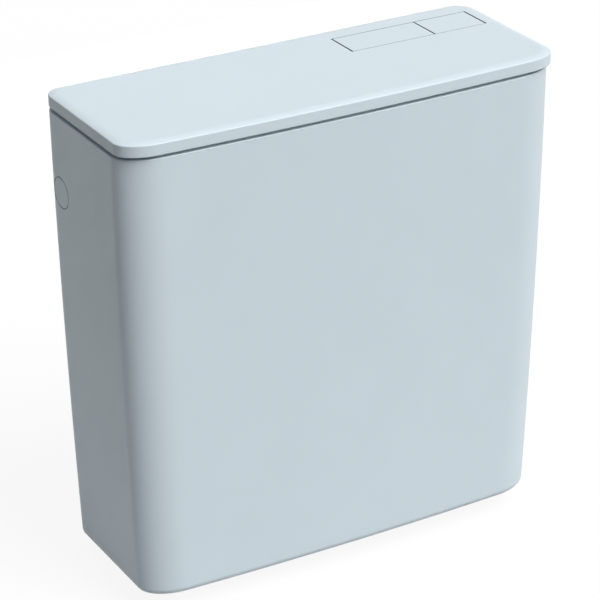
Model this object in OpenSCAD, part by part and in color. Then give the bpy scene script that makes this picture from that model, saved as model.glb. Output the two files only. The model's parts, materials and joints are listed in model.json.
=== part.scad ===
// Wall-hung toilet cistern: a drafted plastic tank under a lift-off lid with two hinged flush plates,
// rockers that lift a dual flush valve over the outlet, and a side-inlet float valve.
// Heights are counted from the tank's underside, then moved to the line of the hanging screws.
// X runs to the right as seen from the front, Y into the wall and Z up.

/* [Tank] */
// Width of the tank at its rim
tank_w = 388.4; // [376:0.2:400]
// Depth of the tank at its rim, along the sides
tank_d = 141.3; // [137:0.1:148]
// Height of the rim's shoulder above the underside
tank_h = 385; // [370:1:400]
// How far the front bows out between the sides
front_bow = 4.4; // [2:0.1:7]
// How much each side leans in towards the underside
side_draft = 9.6; // [6:0.1:12]
// How much the front leans in towards the underside
front_draft = 5.6; // [4:0.1:9]
// How far each side swells out halfway up
side_bulge = 1.6; // [0.5:0.1:3]
// How far the front swells out halfway up
front_bulge = 0.6; // [0.2:0.1:2]
// Wall thickness
wall = 3.2; // [2.6:0.1:4]
// Floor thickness
floor_t = 4; // [3:0.1:5]
// Length of each front corner's curve along the front
front_corner_w = 34; // [26:0.5:38]
// Length of each front corner's curve along the side
front_corner_r = 22; // [18:0.5:28]
// Corner radius at the wall
back_corner_r = 15; // [12:0.5:18]
// Radius of the edge round the underside
foot_r = 7; // [5:0.1:9]
// Radius of the rim's outer edge
rim_r = 1; // [0.5:0.1:2]
// Width of the shoulder that the lid's skirt hangs over
rim_step = 3; // [2.8:0.1:3.4]
// Thickness of the upstand inside the lid
upstand_t = 2.2; // [1.8:0.1:2.6]
// Depth of the thicker band below the shoulder
bead_h = 10; // [6:0.5:14]
// Height of the slope under that band
bead_slope = 6; // [4:0.5:9]

/* [Wall fixing] */
// Distance of the hanging screws below the shoulder
hang_drop = 33; // [29:0.5:37]
// Distance between the two hanging screws
hang_spacing = 250; // [240:1:262]
// Radius of the hanging holes
hang_hole_r = 4; // [3:0.1:5]
// Radius of the pads round the hanging holes
hang_pad_r = 9; // [7:0.5:10]
// Thickness of those pads
hang_pad_t = 3; // [2:0.1:4]

/* [Side connections] */
// Distance of the side holes below the shoulder
inlet_drop = 65; // [63:0.5:67]
// Distance of the side holes from the wall
side_y = 25; // [23:0.5:27]
// Radius of the side holes
side_hole_r = 13; // [12.5:0.1:14]
// Radius of the flat pads round the side holes, inside the tank
side_pad_r = 18; // [17:0.1:19]
// Thickness of those pads
side_pad_t = 2.6; // [2.4:0.1:3.2]
// Radius of the plug's inner flange
plug_flange_r = 16; // [15:0.1:18]
// Thickness of the plug's inner flange
plug_flange_t = 2; // [1.5:0.1:3]
// Depth of the grip recess in the plug's inner side
plug_recess = 2.4; // [1:0.1:3]

/* [Insulation] */
// Thickness of the foam liner
liner_t = 6; // [4:0.1:8]
// Distance of the liner's top below the shoulder
liner_drop = 89; // [85:1:109]
// Bevel round the liner's underside
liner_bevel = 5; // [4:0.5:8]
// Room in the liner round the outlet's flange
liner_hole_gap = 3; // [1.5:0.1:6]

/* [Lid] */
// How far the lid stands out past the tank at each side
lid_overhang = 0.3; // [0.1:0.1:1]
// How far the lid stands out past the tank at the front
lid_front_overhang = 2; // [1:0.1:2.6]
// Height of the shadow gap under the skirt
lid_gap = 3.2; // [2.2:0.1:4]
// Height of the lid from its skirt's edge to its top
lid_h = 10.8; // [9.8:0.1:12.8]
// Thickness of the lid's top
lid_top_t = 2.5; // [2:0.1:3]
// Thickness of the skirt
skirt_t = 2.2; // [1.8:0.1:2.2]
// Width of the band round the lid's top that falls to its edge
crown_w = 8; // [7:0.5:11]
// How far that band falls
crown_drop = 1.5; // [1:0.1:1.8]
// Radius of the lid's top edge
lid_edge_r = 0.9; // [0.6:0.1:1.4]
// Radius of the skirt's lower edge
skirt_edge_r = 0.6; // [0.3:0.1:1]
// Gap between the lid's back edge and the wall
lid_back_gap = 0.5; // [0.2:0.1:0.6]
// Thickness of the locating lips inside the upstand
lip_t = 2; // [1.5:0.1:2.5]
// Depth of the locating lips below the lid's top
lip_h = 18; // [12:0.5:22]
// Length of each locating lip
lip_len = 36; // [24:1:44]
// Gap between the lips and the upstand
lip_gap = 0.6; // [0.4:0.1:1]
// Thickness of the stiffening ribs
lid_rib_t = 1.6; // [1.2:0.1:2.4]
// Height of the stiffening ribs
lid_rib_h = 4; // [3:0.1:5]
// Spacing of the ribs that run front to back
lid_rib_pitch = 44; // [36:1:50]

/* [Flush plates] */
// Length of the full-flush plate
full_plate_len = 76.7; // [72:0.1:80]
// Length of the half-flush plate
half_plate_len = 48.1; // [45:0.1:51]
// Width of both plates, front to back
plate_w = 33; // [31:0.1:36]
// Thickness of the plates
plate_t = 2.2; // [1.8:0.1:2.6]
// Gap at the plates' short edges
plate_gap = 1.3; // [1.1:0.1:1.8]
// Gap at the plates' long edges
plate_slit = 0.5; // [0.4:0.05:0.8]
// Distance of the plate opening from the lid's right edge
opening_side = 12.4; // [12.2:0.1:14.5]
// Distance of the plate opening from the wall
opening_back = 20.75; // [19:0.25:22]
// Depth of the rim moulded under each plate
plate_rim_h = 3.4; // [2.4:0.1:3.8]
// Thickness of that rim
plate_rim_t = 1.5; // [1.2:0.1:2]
// Distance of the hinge from a plate's outer end
hinge_inset = 3.8; // [3.6:0.1:4.6]
// Depth of the hinge below the lid's top
hinge_drop = 6; // [5.5:0.1:6.5]
// Radius of the hinge pins
hinge_pin_r = 1.5; // [1.2:0.05:1.8]
// Radius of the plates' hinge barrels
barrel_r = 3.1; // [2.6:0.1:3.3]
// Distance of the push pins from a plate's free end
pin_inset = 7; // [6:0.1:8]
// Radius of the push pins
push_pin_r = 2.5; // [2:0.1:3]
// Radius of the bosses that hold the push pins
push_boss_r = 4.5; // [4:0.1:5]
// Height of those bosses
push_boss_h = 8; // [6:0.1:9]

/* [Button carrier] */
// Margin of the carrier round the plate opening
carrier_margin = 5; // [4.5:0.1:5.4]
// Wall thickness of the carrier
carrier_wall = 2; // [1.6:0.1:2.4]
// Depth of the carrier's underside below the lid's top
carrier_depth = 16; // [15.7:0.1:16.5]
// Floor thickness of the carrier
carrier_floor = 2; // [1.6:0.1:2.4]
// Gap round the push pins where they pass the floor
carrier_slot_gap = 3.5; // [3:0.1:4.5]
// Gap at the sides of the push pins' bosses
carrier_slot_side = 1; // [0.6:0.1:1.4]
// Distance of the carrier's screws from the ends of the opening
carrier_screw_inset = 22; // [18:0.5:28]
// Radius of the lid's screw bosses
lid_boss_r = 3.4; // [3:0.1:3.8]
// Height of the lid's screw bosses
lid_boss_h = 5.5; // [5:0.1:6.5]
// Thickness of the carrier's screw ears
ear_t = 2; // [1.6:0.1:2.4]
// Radius of the carrier's screw shanks
small_screw_r = 1.5; // [1.2:0.05:1.8]
// Radius of the carrier's screw heads
small_head_r = 2.8; // [2.4:0.1:3.2]
// Height of the carrier's screw heads
small_head_h = 1.8; // [1.4:0.1:2.2]

/* [Plate springs] */
// Radius of the coils
spring_r = 4; // [3.5:0.1:4.5]
// Radius of the wire
spring_wire_r = 0.45; // [0.35:0.05:0.55]
// Number of coils
spring_turns = 5; // [4:1:6]
// Distance of the full plate's spring from its hinge
full_spring_x = 36; // [30:0.5:42]
// Distance of the half plate's spring from its hinge
half_spring_x = 17; // [15:0.5:19]
// Height of the pegs inside the springs
spring_peg_h = 3; // [2:0.1:4]

/* [Rockers] */
// Depth of the rockers' pivot below the shoulder
pivot_drop = 17; // [16:0.5:19]
// Distance of the pivot from the full-flush push pin
pad_arm = 44; // [40:0.5:48]
// Height of the pads above the pivot
pad_rise = 8; // [7:0.1:9]
// Length of the pads
pad_len = 14; // [12:0.5:16]
// Thickness of the rocker arms
rocker_t = 6; // [5:0.1:6.8]
// Width of the rocker arms
rocker_w = 8; // [6:0.1:9]
// Radius of the rockers' hubs
hub_r = 5; // [4:0.1:5.6]
// Radius of the pivot pin
pivot_pin_r = 2; // [1.6:0.05:2.4]
// Distance from the pivot to where the arms bend
bend_x = 16; // [12:0.5:20]
// Radius of the rounded noses that lift the rods
nose_r = 3.5; // [3.2:0.1:4]
// Width of each fork tine
tine_w = 3.5; // [3:0.1:4]
// Length of the forks from the rod to the arm
fork_len = 14; // [12:0.5:18]
// Length of the forks' solid root
fork_root = 7; // [5:0.5:8]
// How much the forks are thinned above and below
fork_thin = 1; // [0.5:0.1:1.4]

/* [Rocker bracket] */
// Width of the bracket's back plate
bracket_w = 44; // [40:1:50]
// Height of the back plate below the pivot
bracket_below = 20; // [18:0.5:22]
// Height of the back plate above the pivot
bracket_above = 4; // [2:0.5:6]
// Thickness of the bracket's plates
bracket_t = 3; // [2.5:0.1:3.5]
// Distance of the first cheek from the wall
cheek_y = 21; // [20:0.5:22]
// Clear width of each bay between the cheeks
bay_w = 12.5; // [11:0.1:13]
// Width of the cheeks at the shelf
cheek_w = 16; // [14:0.5:20]
// Radius of the cheeks' rounded tops
cheek_r = 6; // [5:0.1:7]
// Distance of the shelf's top below the pivot
shelf_drop = 8; // [7.5:0.1:10]
// Width of the shelf
shelf_w = 20; // [18:0.5:24]
// Length of the bosses on the tank's back wall
boss_len = 6; // [4:0.1:7]
// Radius of those bosses
boss_r = 5; // [4:0.1:6]
// Distance of each bracket screw from the pivot
bracket_screw_x = 16; // [15:0.5:18]
// Radius of the bracket's screw shanks
screw_r = 2; // [1.6:0.05:2.2]
// Radius of the bracket's screw heads
screw_head_r = 3.5; // [3:0.1:4]
// Height of the bracket's screw heads
screw_head_h = 2.4; // [2:0.1:3]
// Length of the screws in the bosses
screw_grip = 5; // [3:0.1:6]

/* [Outlet] */
// Distance of the outlet from the wall
valve_y = 62; // [60:0.5:65]
// Radius of the outlet's bore
outlet_bore_r = 25.2; // [24:0.1:26]
// Radius of the outlet's threaded tail
spigot_r = 31.5; // [30:0.1:33]
// How far the tail stands below the tank
spigot_drop = 18; // [15:0.5:20]
// Depth of the bore above the tank's underside
bore_rise = 6; // [3:0.1:8]
// Width of the stop at the end of the bore
bore_stop = 1.2; // [0.8:0.1:2]
// Radius of the inner flange
flange_r = 41; // [40:0.1:43]
// Thickness of the inner flange
flange_t = 4; // [3:0.1:5]
// Thickness of the flange gasket
gasket_t = 3; // [2:0.1:4]
// Width of the valve seat's lip
seat_w = 4; // [3:0.1:5]
// Height of the valve seat's lip
seat_h = 4; // [3:0.1:5]
// Height of the locknut
nut_h = 11; // [9:0.5:13]
// Radius of the locknut over its corners
nut_r = 41; // [39:0.1:43]

/* [Flush valve] */
// Radius of the basket
basket_r = 38; // [37:0.1:39]
// Wall thickness of the basket and of its top
basket_wall = 2.2; // [1.8:0.1:2.6]
// Height of the basket
basket_h = 49; // [46:0.5:54]
// Number of windows in the basket
window_count = 6; // [4:1:8]
// Width of each window
window_w = 22; // [16:0.5:24]
// Height of the solid bands above and below the windows
window_band = 6; // [5:0.5:8]
// Radius of the tower
tower_r = 34; // [33:0.1:35]
// Wall thickness of the tower
tower_wall = 3; // [2.4:0.1:3.4]
// Width of the windows between the tower's two columns
tower_window_w = 58; // [50:0.5:60]
// Height of the tower's rings
tower_ring_h = 5; // [4:0.5:7]
// Width of the tower's rings
tower_ring_w = 4.6; // [4:0.1:5]
// Depth of the cap's top below the rockers' pivot
cap_drop = 42; // [38:0.5:46]
// Thickness of the cap
cap_t = 3; // [2.5:0.1:4]
// Height of the guides on the cap
guide_h = 3; // [2:0.1:5]
// Thickness of the guides' walls
guide_wall = 3; // [2:0.1:4]
// Radius of the overflow pipe
overflow_r = 14; // [13:0.1:15]
// Wall thickness of the overflow pipe
overflow_wall = 2; // [1.6:0.1:2.4]
// Room between the overflow pipe's top and the cap
overflow_room = 22; // [18:0.5:28]
// Height of the bridge across the overflow pipe
bridge_h = 8; // [6:0.5:10]
// Width of the bridge across the overflow pipe
bridge_w = 8; // [7:0.1:9]
// How far the valve disc and its seal reach past the seat
disc_margin = 2.5; // [1.5:0.1:3]
// Thickness of the valve disc
disc_t = 4; // [3:0.1:5]
// Height of the disc's collar round the overflow pipe
collar_h = 10; // [6:0.5:14]
// Thickness of the disc's collar
collar_t = 3; // [2:0.1:4]
// Thickness of the valve seal
seal_t = 2; // [1.5:0.1:3]
// Radius of both flush floats
float_r = 28; // [27:0.1:29]
// Height of the full-flush float
full_float_h = 45; // [38:0.5:50]
// Distance of the full-flush float above the basket
full_float_rise = 20; // [16:0.5:26]
// Height of the half-flush float
half_float_h = 40; // [34:0.5:46]
// Distance of the half-flush float below the overflow pipe's top
half_float_drop = 88; // [80:0.5:96]
// Radius of the full-flush lift rod
full_rod_r = 2.5; // [2.2:0.05:2.8]
// Radius of the half-flush lift rod
half_rod_r = 2; // [1.8:0.05:2.4]
// Distance of the half-flush rod from the valve's axis
half_rod_y = 22; // [20.5:0.1:23]
// Depth of the half-flush rod in its float
half_rod_grip = 14; // [10:0.5:20]
// Height of the rods' heads
rod_head_h = 2.5; // [2:0.1:3]

/* [Fill valve] */
// Radius of the inlet's shank, in the valve body and under the locknut
inlet_r = 11.4; // [11.2:0.05:11.8]
// Radius of the thread on the inlet's free tail
tail_r = 10.48; // [10.2:0.02:10.7]
// Length of the inlet outside the locknut
tail_len = 10; // [8:0.5:14]
// Bevel on the end of the tail
tail_bevel = 0.8; // [0.4:0.1:1.2]
// Radius of the water passage
passage_r = 6; // [5.5:0.1:7]
// Radius of the inlet's collar
collar_r = 17; // [16:0.1:18]
// Thickness of the inlet's collar
inlet_collar_t = 4; // [3:0.1:5]
// Thickness of the inlet's gasket
inlet_gasket_t = 2; // [1.5:0.1:2.5]
// Radius of the inlet's locknut over its corners
inlet_nut_r = 17; // [16.6:0.1:18]
// Height of the inlet's locknut
inlet_nut_h = 8; // [6:0.5:10]
// Length of the inlet inside the valve body
socket_len = 9; // [7:0.5:11]
// Radius of the valve body
fill_r = 15; // [14:0.1:16]
// Length of the valve body
fill_len = 40; // [38:0.5:44]
// Radius of the valve's pressure flange and cap
fill_flange_r = 19; // [18:0.1:20]
// Thickness of the pressure flange
fill_flange_t = 4; // [3:0.1:5]
// Thickness of the diaphragm
diaphragm_t = 2; // [1.5:0.1:2.5]
// Margin of the flange outside the diaphragm
diaphragm_margin = 1.5; // [1:0.1:2.5]
// Length of the cap's wide part
cap_len = 8; // [6:0.5:10]
// Length of the cap's narrow part
cap_nose_len = 6; // [5:0.5:8]
// Radius of the cap's narrow part
cap_nose_r = 13; // [12:0.1:14]
// Radius of the pilot nozzle
pilot_r = 2; // [1.5:0.1:2.5]
// Height of the arm's pivot above the inlet
arm_rise = 6; // [5:0.1:7]
// Radius of the float arm's hub
arm_hub_r = 4; // [3.5:0.1:4.5]
// Length of the float arm's hub
arm_hub_w = 10; // [8:0.1:11]
// Thickness of the ears that carry the arm
arm_ear_t = 3; // [2.5:0.1:3.5]
// Radius of the arm's pivot pin
arm_pin_r = 1.5; // [1.2:0.05:1.8]
// Length of the float arm
arm_len = 46.5; // [43:0.5:50]
// Width of the float arm
arm_w = 7; // [5:0.1:8]
// Thickness of the float arm
arm_t = 2.6; // [2:0.1:3]
// Radius of the arm's rounded nose
arm_nose_r = 2.6; // [2.4:0.1:3]
// Width of each tine of the arm's fork
arm_tine_w = 2.6; // [2.2:0.1:3]
// Length of the arm's fork
arm_fork_len = 9; // [8:0.5:11]
// How far the float rises from empty to full
float_travel = 18; // [14:0.5:20]
// Distance of the float from the wall
fill_float_y = 36; // [35:0.5:38]
// Radius of the float
fill_float_r = 19; // [17:0.1:19.4]
// Height of the float
fill_float_h = 44; // [40:0.5:46]
// Wall thickness of the float and of its chamber
float_wall = 1.5; // [1.2:0.1:2]
// Gap between the float and its chamber
float_gap = 1.5; // [1.2:0.1:1.8]
// Height of the float's chamber
chamber_h = 64; // [60:0.5:70]
// Distance of the chamber's top below the inlet
chamber_drop = 16; // [14:0.5:20]
// Radius of the drain hole in the chamber's floor
drain_r = 4; // [2:0.1:6]
// Radius of the adjuster rod
adjuster_r = 2; // [1.6:0.1:2.4]
// Radius of the collars on the adjuster rod
adjuster_collar_r = 5; // [4.6:0.1:5.4]
// Thickness of those collars
adjuster_collar_t = 2; // [1.5:0.1:2.5]
// Depth of the adjuster rod in the float
adjuster_grip = 11; // [8:0.5:14]
// Distance of the downpipe from the body's inlet end
downpipe_x = 29; // [26:0.5:31]
// Radius of the downpipe
downpipe_r = 7; // [6:0.1:8]
// Wall thickness of the downpipe
downpipe_wall = 1.5; // [1.2:0.1:2]
// Height of the downpipe's lower end above the floor
downpipe_foot = 26; // [20:1:40]
// Length of the socket that holds the downpipe
downpipe_socket = 11; // [8:0.5:12]
// Distance of that socket's end below the inlet
downpipe_boss = 22; // [20:0.5:24]
// Height of the clip that holds the chamber on the downpipe
clip_h = 8; // [6:0.5:9]
// Wall thickness of the clip
clip_wall = 3; // [2:0.1:4]
// Distance of the clip below the socket's end
clip_drop = 4; // [3:0.5:8]
// Wall thickness of the strainer
strainer_wall = 0.8; // [0.6:0.1:1]
// Length of the strainer
strainer_len = 14; // [10:0.5:16]
// Number of slots in the strainer
strainer_slots = 6; // [4:1:8]
// Width of the strainer's slots
strainer_slot_w = 1.6; // [1:0.1:2]

/* [Clearances] */
// Gap between pieces that rest near each other
seat_gap = 0.3; // [0.2:0.05:0.4]
// Radial gap of a turning fit
run_gap = 0.05; // [0.03:0.01:0.09]
// Radial gap of a fixed fit
snug_gap = 0.02; // [0.01:0.01:0.04]
// Radial gap of a loose guide
guide_gap = 0.4; // [0.3:0.05:0.7]

/* [Hidden] */

// Colours
shell_colour = [0.86, 0.90, 0.92];
foam_colour = [0.95, 0.95, 0.94];
inner_colour = [0.80, 0.82, 0.84];
valve_colour = [0.30, 0.52, 0.62];
lift_colour = [0.86, 0.70, 0.34];
grey_colour = [0.55, 0.57, 0.59];
rubber_colour = [0.16, 0.16, 0.17];
brass_colour = [0.78, 0.63, 0.33];
steel_colour = [0.72, 0.73, 0.74];

// Fineness of round shapes and of the lofted shells
$fn = 64;
corner_steps = 10;
back_steps = 5;
front_steps = 10;
wall_steps = 8;
foot_steps = 4;
edge_steps = 4;
crown_steps = 4;
coil_steps = 8;
wire_sides = 6;
nut_sides = 8;
inlet_nut_sides = 6;

// How far a cutting shape reaches past the face it cuts
cut = 1;

// Heights
hang_z = tank_h - hang_drop;
inlet_z = tank_h - inlet_drop;
liner_top = tank_h - liner_drop;
lid_bottom = tank_h + lid_gap;
lid_top = lid_bottom + lid_h;
lid_under = lid_top - lid_top_t;
upstand_top = lid_under - seat_gap;
plate_under = lid_top - plate_t;
hinge_z = lid_top - hinge_drop;
carrier_z = lid_top - carrier_depth;
carrier_floor_top = carrier_z + carrier_floor;
boss_face = lid_under - lid_boss_h;
pivot_z = tank_h - pivot_drop;
pad_z = pivot_z + pad_rise;
tip_z = pad_z + seat_gap;
head_z = pivot_z + nose_r + seat_gap;
flange_z = floor_t + gasket_t;
flange_top = flange_z + flange_t;
seat_top = flange_top + seat_h;
seal_z = seat_top + seat_gap;
disc_z = seal_z + seal_t;
basket_top = flange_top + basket_h;
cap_top = pivot_z - cap_drop;
cap_z = cap_top - cap_t - guide_h;
overflow_top = cap_z - overflow_room;
full_float_z = basket_top + full_float_rise;
half_float_top = overflow_top - half_float_drop;

// Lid opening and flush plates
lid_hw = tank_w / 2 + lid_overhang;
lid_front = -tank_d - lid_front_overhang;
opening_x1 = lid_hw - opening_side;
opening_x0 = opening_x1 - full_plate_len - half_plate_len - 3 * plate_gap;
opening_y1 = -opening_back;
opening_y0 = opening_y1 - plate_w - 2 * plate_slit;
full_x0 = opening_x0 + plate_gap;
full_x1 = full_x0 + full_plate_len;
half_x1 = opening_x1 - plate_gap;
half_x0 = half_x1 - half_plate_len;
plate_y0 = opening_y0 + plate_slit;
plate_y1 = opening_y1 - plate_slit;
full_hinge_x = full_x0 + hinge_inset;
half_hinge_x = half_x1 - hinge_inset;
full_pin_x = full_x1 - pin_inset;
half_pin_x = half_x0 + pin_inset;

// Button carrier
carrier_x0 = opening_x0 - carrier_margin;
carrier_x1 = opening_x1 + carrier_margin;
carrier_y0 = opening_y0 - carrier_margin;
carrier_y1 = opening_y1 + carrier_margin;
carrier_screws_x = [opening_x0 + carrier_screw_inset, opening_x1 - carrier_screw_inset];
carrier_screws_y = [carrier_y0 - lid_boss_r, carrier_y1 + lid_boss_r];
spring_centre_y = (plate_y0 + plate_y1) / 2;
full_spring = [full_hinge_x + full_spring_x, spring_centre_y];
half_spring = [half_hinge_x - half_spring_x, spring_centre_y];

// Rockers and their bracket
pivot_x = full_pin_x - pad_arm;
half_bay = -cheek_y - bracket_t;
full_bay = half_bay - bay_w - bracket_t;
half_rocker_y = half_bay - bay_w / 2;
full_rocker_y = full_bay - bay_w / 2;
bracket_front = full_bay - bay_w - bracket_t;
bracket_back = -wall - boss_len;
bracket_screw_z = pivot_z - shelf_drop;
half_rod_place = [0, half_rod_y - valve_y];
full_rod_place = [0, -valve_y];
rod_slot = 2 * (full_rod_r + guide_gap + seat_gap);
rod_head_r = rod_slot / 2 + tine_w;

// Flush valve
spigot_hole_r = spigot_r + guide_gap;
throat_r = outlet_bore_r - bore_stop;
disc_r = throat_r + seat_w + disc_margin;
tower_in = tower_r - tower_ring_w;
overflow_in = overflow_r - overflow_wall;

// Fill valve, placed from the right wall inwards
wall_out = half_width(inlet_z);
side_pad_x = wall_out - wall - side_pad_t;
inlet_gasket_x = side_pad_x - seat_gap - inlet_gasket_t;
collar_x = inlet_gasket_x - inlet_collar_t;
nut_x = wall_out + seat_gap;
tail_x = nut_x + inlet_nut_h;
inlet_end = tail_x + tail_len;
fill_x1 = collar_x - fill_flange_t;
fill_x0 = fill_x1 - fill_len;
diaphragm_x = fill_x0 - diaphragm_t;
cap_x = diaphragm_x - cap_len;
cap_nose_x = cap_x - cap_nose_len;
arm_x = cap_nose_x - arm_hub_r - seat_gap - pilot_r;
arm_z = inlet_z + arm_rise;
arm_angle = asin(float_travel / 2 / arm_len);
fill_float_x = arm_x - arm_len * (1 + cos(arm_angle)) / 2;
fill_float_place = [fill_float_x, -fill_float_y];
arm_end_z = arm_z - float_travel / 2;
arm_slot = 2 * (adjuster_r + guide_gap);
downpipe_place = [fill_x1 - downpipe_x, -side_y];
chamber_top = inlet_z - chamber_drop;
chamber_z = chamber_top - chamber_h;
fill_float_z = chamber_z + float_wall + seat_gap;
fill_float_top = fill_float_z + fill_float_h;
clip_top = inlet_z - downpipe_boss - clip_drop;

// Outer surface of the tank at a given height
function rise(z) = min(z / tank_h, 1);
function half_width(z) =
    tank_w / 2 - side_draft * (1 - rise(z)) + 4 * side_bulge * rise(z) * (1 - rise(z));
function front_depth(z) =
    tank_d - front_draft * (1 - rise(z)) + 4 * front_bulge * rise(z) * (1 - rise(z));
function side_lean(z) = atan((side_draft + 4 * side_bulge * (1 - 2 * rise(z))) / tank_h);

// Plan outline with rounded corners and a bowed front, listed from the left end of the front
function arc(centre, half_axes, from, to, steps) =
    [for (a = levels(from, to, steps)) centre + [half_axes.x * cos(a), half_axes.y * sin(a)]];
function rounded(hw, back, front, corner, back_r) = concat(
    [for (i = [1:front_steps - 1]) [(hw - corner.x) * (2 * i / front_steps - 1), front]],
    arc([hw - corner.x, front + corner.y], corner, -90, 0, corner_steps),
    arc([hw - back_r, back - back_r], [back_r, back_r], 0, 90, back_steps),
    arc([back_r - hw, back - back_r], [back_r, back_r], 90, 180, back_steps),
    arc([corner.x - hw, front + corner.y], corner, 180, 270, corner_steps)
);
function bowed(points, hw, back, front) =
    [for (p = points) [p.x, p.y - front_bow * (1 - pow(p.x / hw, 2)) * (p.y - back) / (front - back)]];
function outline(hw, back, front, inset) = bowed(
    rounded(
        hw - inset, back - inset, front + inset,
        [front_corner_w - inset, front_corner_r - inset], back_corner_r - inset
    ),
    hw - inset, back - inset, front + inset
);
function raised(points, z) = [for (p = points) [p.x, p.y, z]];
function tank_outline(inset, z) = outline(half_width(z), 0, -front_depth(z), inset);
function lid_outline(inset) = outline(lid_hw, -lid_back_gap, lid_front, inset);
function tank_ring(step) = raised(tank_outline(step[0], step[1]), step[1]);
function lid_ring(step) = raised(lid_outline(step[0]), step[1]);
function levels(from, to, steps) = [for (i = [0:steps]) from + (to - from) * i / steps];

// Closed skin over rings of equal count, each listed anticlockwise as seen along the way
module loft(rings) {
    count = len(rings[0]);
    last = len(rings) - 1;
    sides = [
        for (i = [0:last - 1], j = [0:count - 1])
            let (a = i * count + j, b = i * count + (j + 1) % count)
                each [[a, a + count, b + count], [a, b + count, b]]
    ];
    first_cap = [for (j = [0:count - 1]) j];
    last_cap = [for (j = [count - 1:-1:0]) last * count + j];
    polyhedron(points = [for (ring = rings) each ring], faces = concat([first_cap], sides, [last_cap]));
}

// Plain shapes between two planes
module block(low, high) {
    translate(low) cube(high - low);
}
module rod_x(from, to, y, z, r) {
    translate([from, y, z]) rotate([0, 90, 0]) cylinder(r = r, h = to - from);
}
module rod_y(from, to, x, z, r) {
    translate([x, from, z]) rotate([-90, 0, 0]) cylinder(r = r, h = to - from);
}
module rod_z(from, to, place, r) {
    translate([place.x, place.y, from]) cylinder(r = r, h = to - from);
}
module tube_x(from, to, y, z, outer, inner) {
    difference() {
        rod_x(from, to, y, z, outer);
        rod_x(from - cut, to + cut, y, z, inner);
    }
}
module tube_z(from, to, place, outer, inner) {
    difference() {
        rod_z(from, to, place, outer);
        rod_z(from - cut, to + cut, place, inner);
    }
}

// Moves heights counted from the underside to the line of the hanging screws
module hung() {
    translate([0, 0, -hang_z]) children();
}

// Places a shape that points along Z on the outside of a side wall, square to its lean
module on_side(side) {
    translate([side * half_width(inlet_z), -side_y, inlet_z])
        rotate([0, side * (90 + side_lean(inlet_z)), 0])
            children();
}

module each_bracket_screw() {
    for (x = [pivot_x - bracket_screw_x, pivot_x + bracket_screw_x])
        translate([x, 0, bracket_screw_z]) children();
}

module each_carrier_screw() {
    for (x = carrier_screws_x, y = carrier_screws_y)
        translate([x, y, 0]) children();
}

// Tank

function tank_profile() = concat(
    [for (a = levels(0, 90, foot_steps)) [foot_r * (1 - sin(a)), foot_r * (1 - cos(a))]],
    [for (i = [1:wall_steps - 1]) [0, foot_r + (tank_h - rim_r - foot_r) * i / wall_steps]],
    [for (a = levels(0, 90, edge_steps)) [rim_r * (1 - cos(a)), tank_h - rim_r * (1 - sin(a))]],
    [
        [rim_step, tank_h], [rim_step, upstand_top], [rim_step + upstand_t, upstand_top],
        [rim_step + upstand_t, tank_h - bead_h]
    ],
    [for (z = levels(tank_h - bead_h - bead_slope, floor_t + foot_r, wall_steps)) [wall, z]],
    [for (a = levels(0, 90, edge_steps)) if (a > 0)
        [wall + (foot_r - wall) * (1 - cos(a)), floor_t + foot_r - foot_r * sin(a)]]
);

module tank() {
    color(shell_colour) hung() difference() {
        union() {
            loft([for (step = tank_profile()) tank_ring(step)]);
            for (x = [-hang_spacing / 2, hang_spacing / 2])
                rod_y(-wall - hang_pad_t, -wall / 2, x, hang_z, hang_pad_r);
            each_bracket_screw() rod_y(bracket_back, -wall / 2, 0, 0, boss_r);
            for (side = [-1, 1])
                on_side(side) translate([0, 0, -wall - side_pad_t])
                    cylinder(r = side_pad_r, h = side_pad_t + wall / 4);
        }
        rod_z(-cut, floor_t + cut, full_rod_place, spigot_hole_r);
        for (x = [-hang_spacing / 2, hang_spacing / 2])
            rod_y(-wall - hang_pad_t - cut, cut, x, hang_z, hang_hole_r);
        for (side = [-1, 1])
            on_side(side) translate([0, 0, -wall - side_pad_t - cut])
                cylinder(r = side_hole_r, h = wall + side_pad_t + 2 * cut);
        each_bracket_screw() rod_y(bracket_back - cut, bracket_back + screw_grip, 0, 0, screw_r + snug_gap);
    }
}

function liner_profile() = concat(
    [[wall + seat_gap + liner_bevel, floor_t + seat_gap]],
    [for (z = levels(floor_t + seat_gap + liner_bevel, liner_top, wall_steps)) [wall + seat_gap, z]],
    [for (z = levels(liner_top, floor_t + seat_gap + liner_t, wall_steps)) [wall + seat_gap + liner_t, z]]
);

module insulation_liner() {
    color(foam_colour) hung() difference() {
        loft([for (step = liner_profile()) tank_ring(step)]);
        rod_z(-cut, floor_t + liner_t + 2 * cut, full_rod_place, flange_r + liner_hole_gap);
    }
}

module side_plug() {
    neck = wall + side_pad_t + seat_gap;
    color(shell_colour) hung() on_side(-1) difference() {
        union() {
            translate([0, 0, -neck]) cylinder(r = side_hole_r - seat_gap, h = neck);
            translate([0, 0, -neck - plug_flange_t]) cylinder(r = plug_flange_r, h = plug_flange_t);
        }
        translate([0, 0, -neck - plug_flange_t - cut])
            cylinder(r = side_hole_r - wall, h = plug_recess + cut);
    }
}

// Lid

// The lid's top falls along a parabola towards a small round at its edge
function crown_z(inset) = lid_top - crown_drop * pow(1 - inset / crown_w, 2);
crown_slope = atan(2 * crown_drop / crown_w * (1 - lid_edge_r / crown_w));
crown_start = lid_edge_r * (1 - sin(crown_slope));
edge_z = crown_z(crown_start) - lid_edge_r * cos(crown_slope);

function lid_profile() = concat(
    [[skirt_t, lid_under], [skirt_t, lid_bottom]],
    [for (a = levels(0, 90, edge_steps))
        [skirt_edge_r * (1 - sin(a)), lid_bottom + skirt_edge_r * (1 - cos(a))]],
    [for (a = levels(0, 90 - crown_slope, edge_steps))
        [lid_edge_r * (1 - cos(a)), edge_z + lid_edge_r * sin(a)]],
    [for (inset = levels(crown_start, crown_w, crown_steps)) if (inset > crown_start) [inset, crown_z(inset)]]
);

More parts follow.
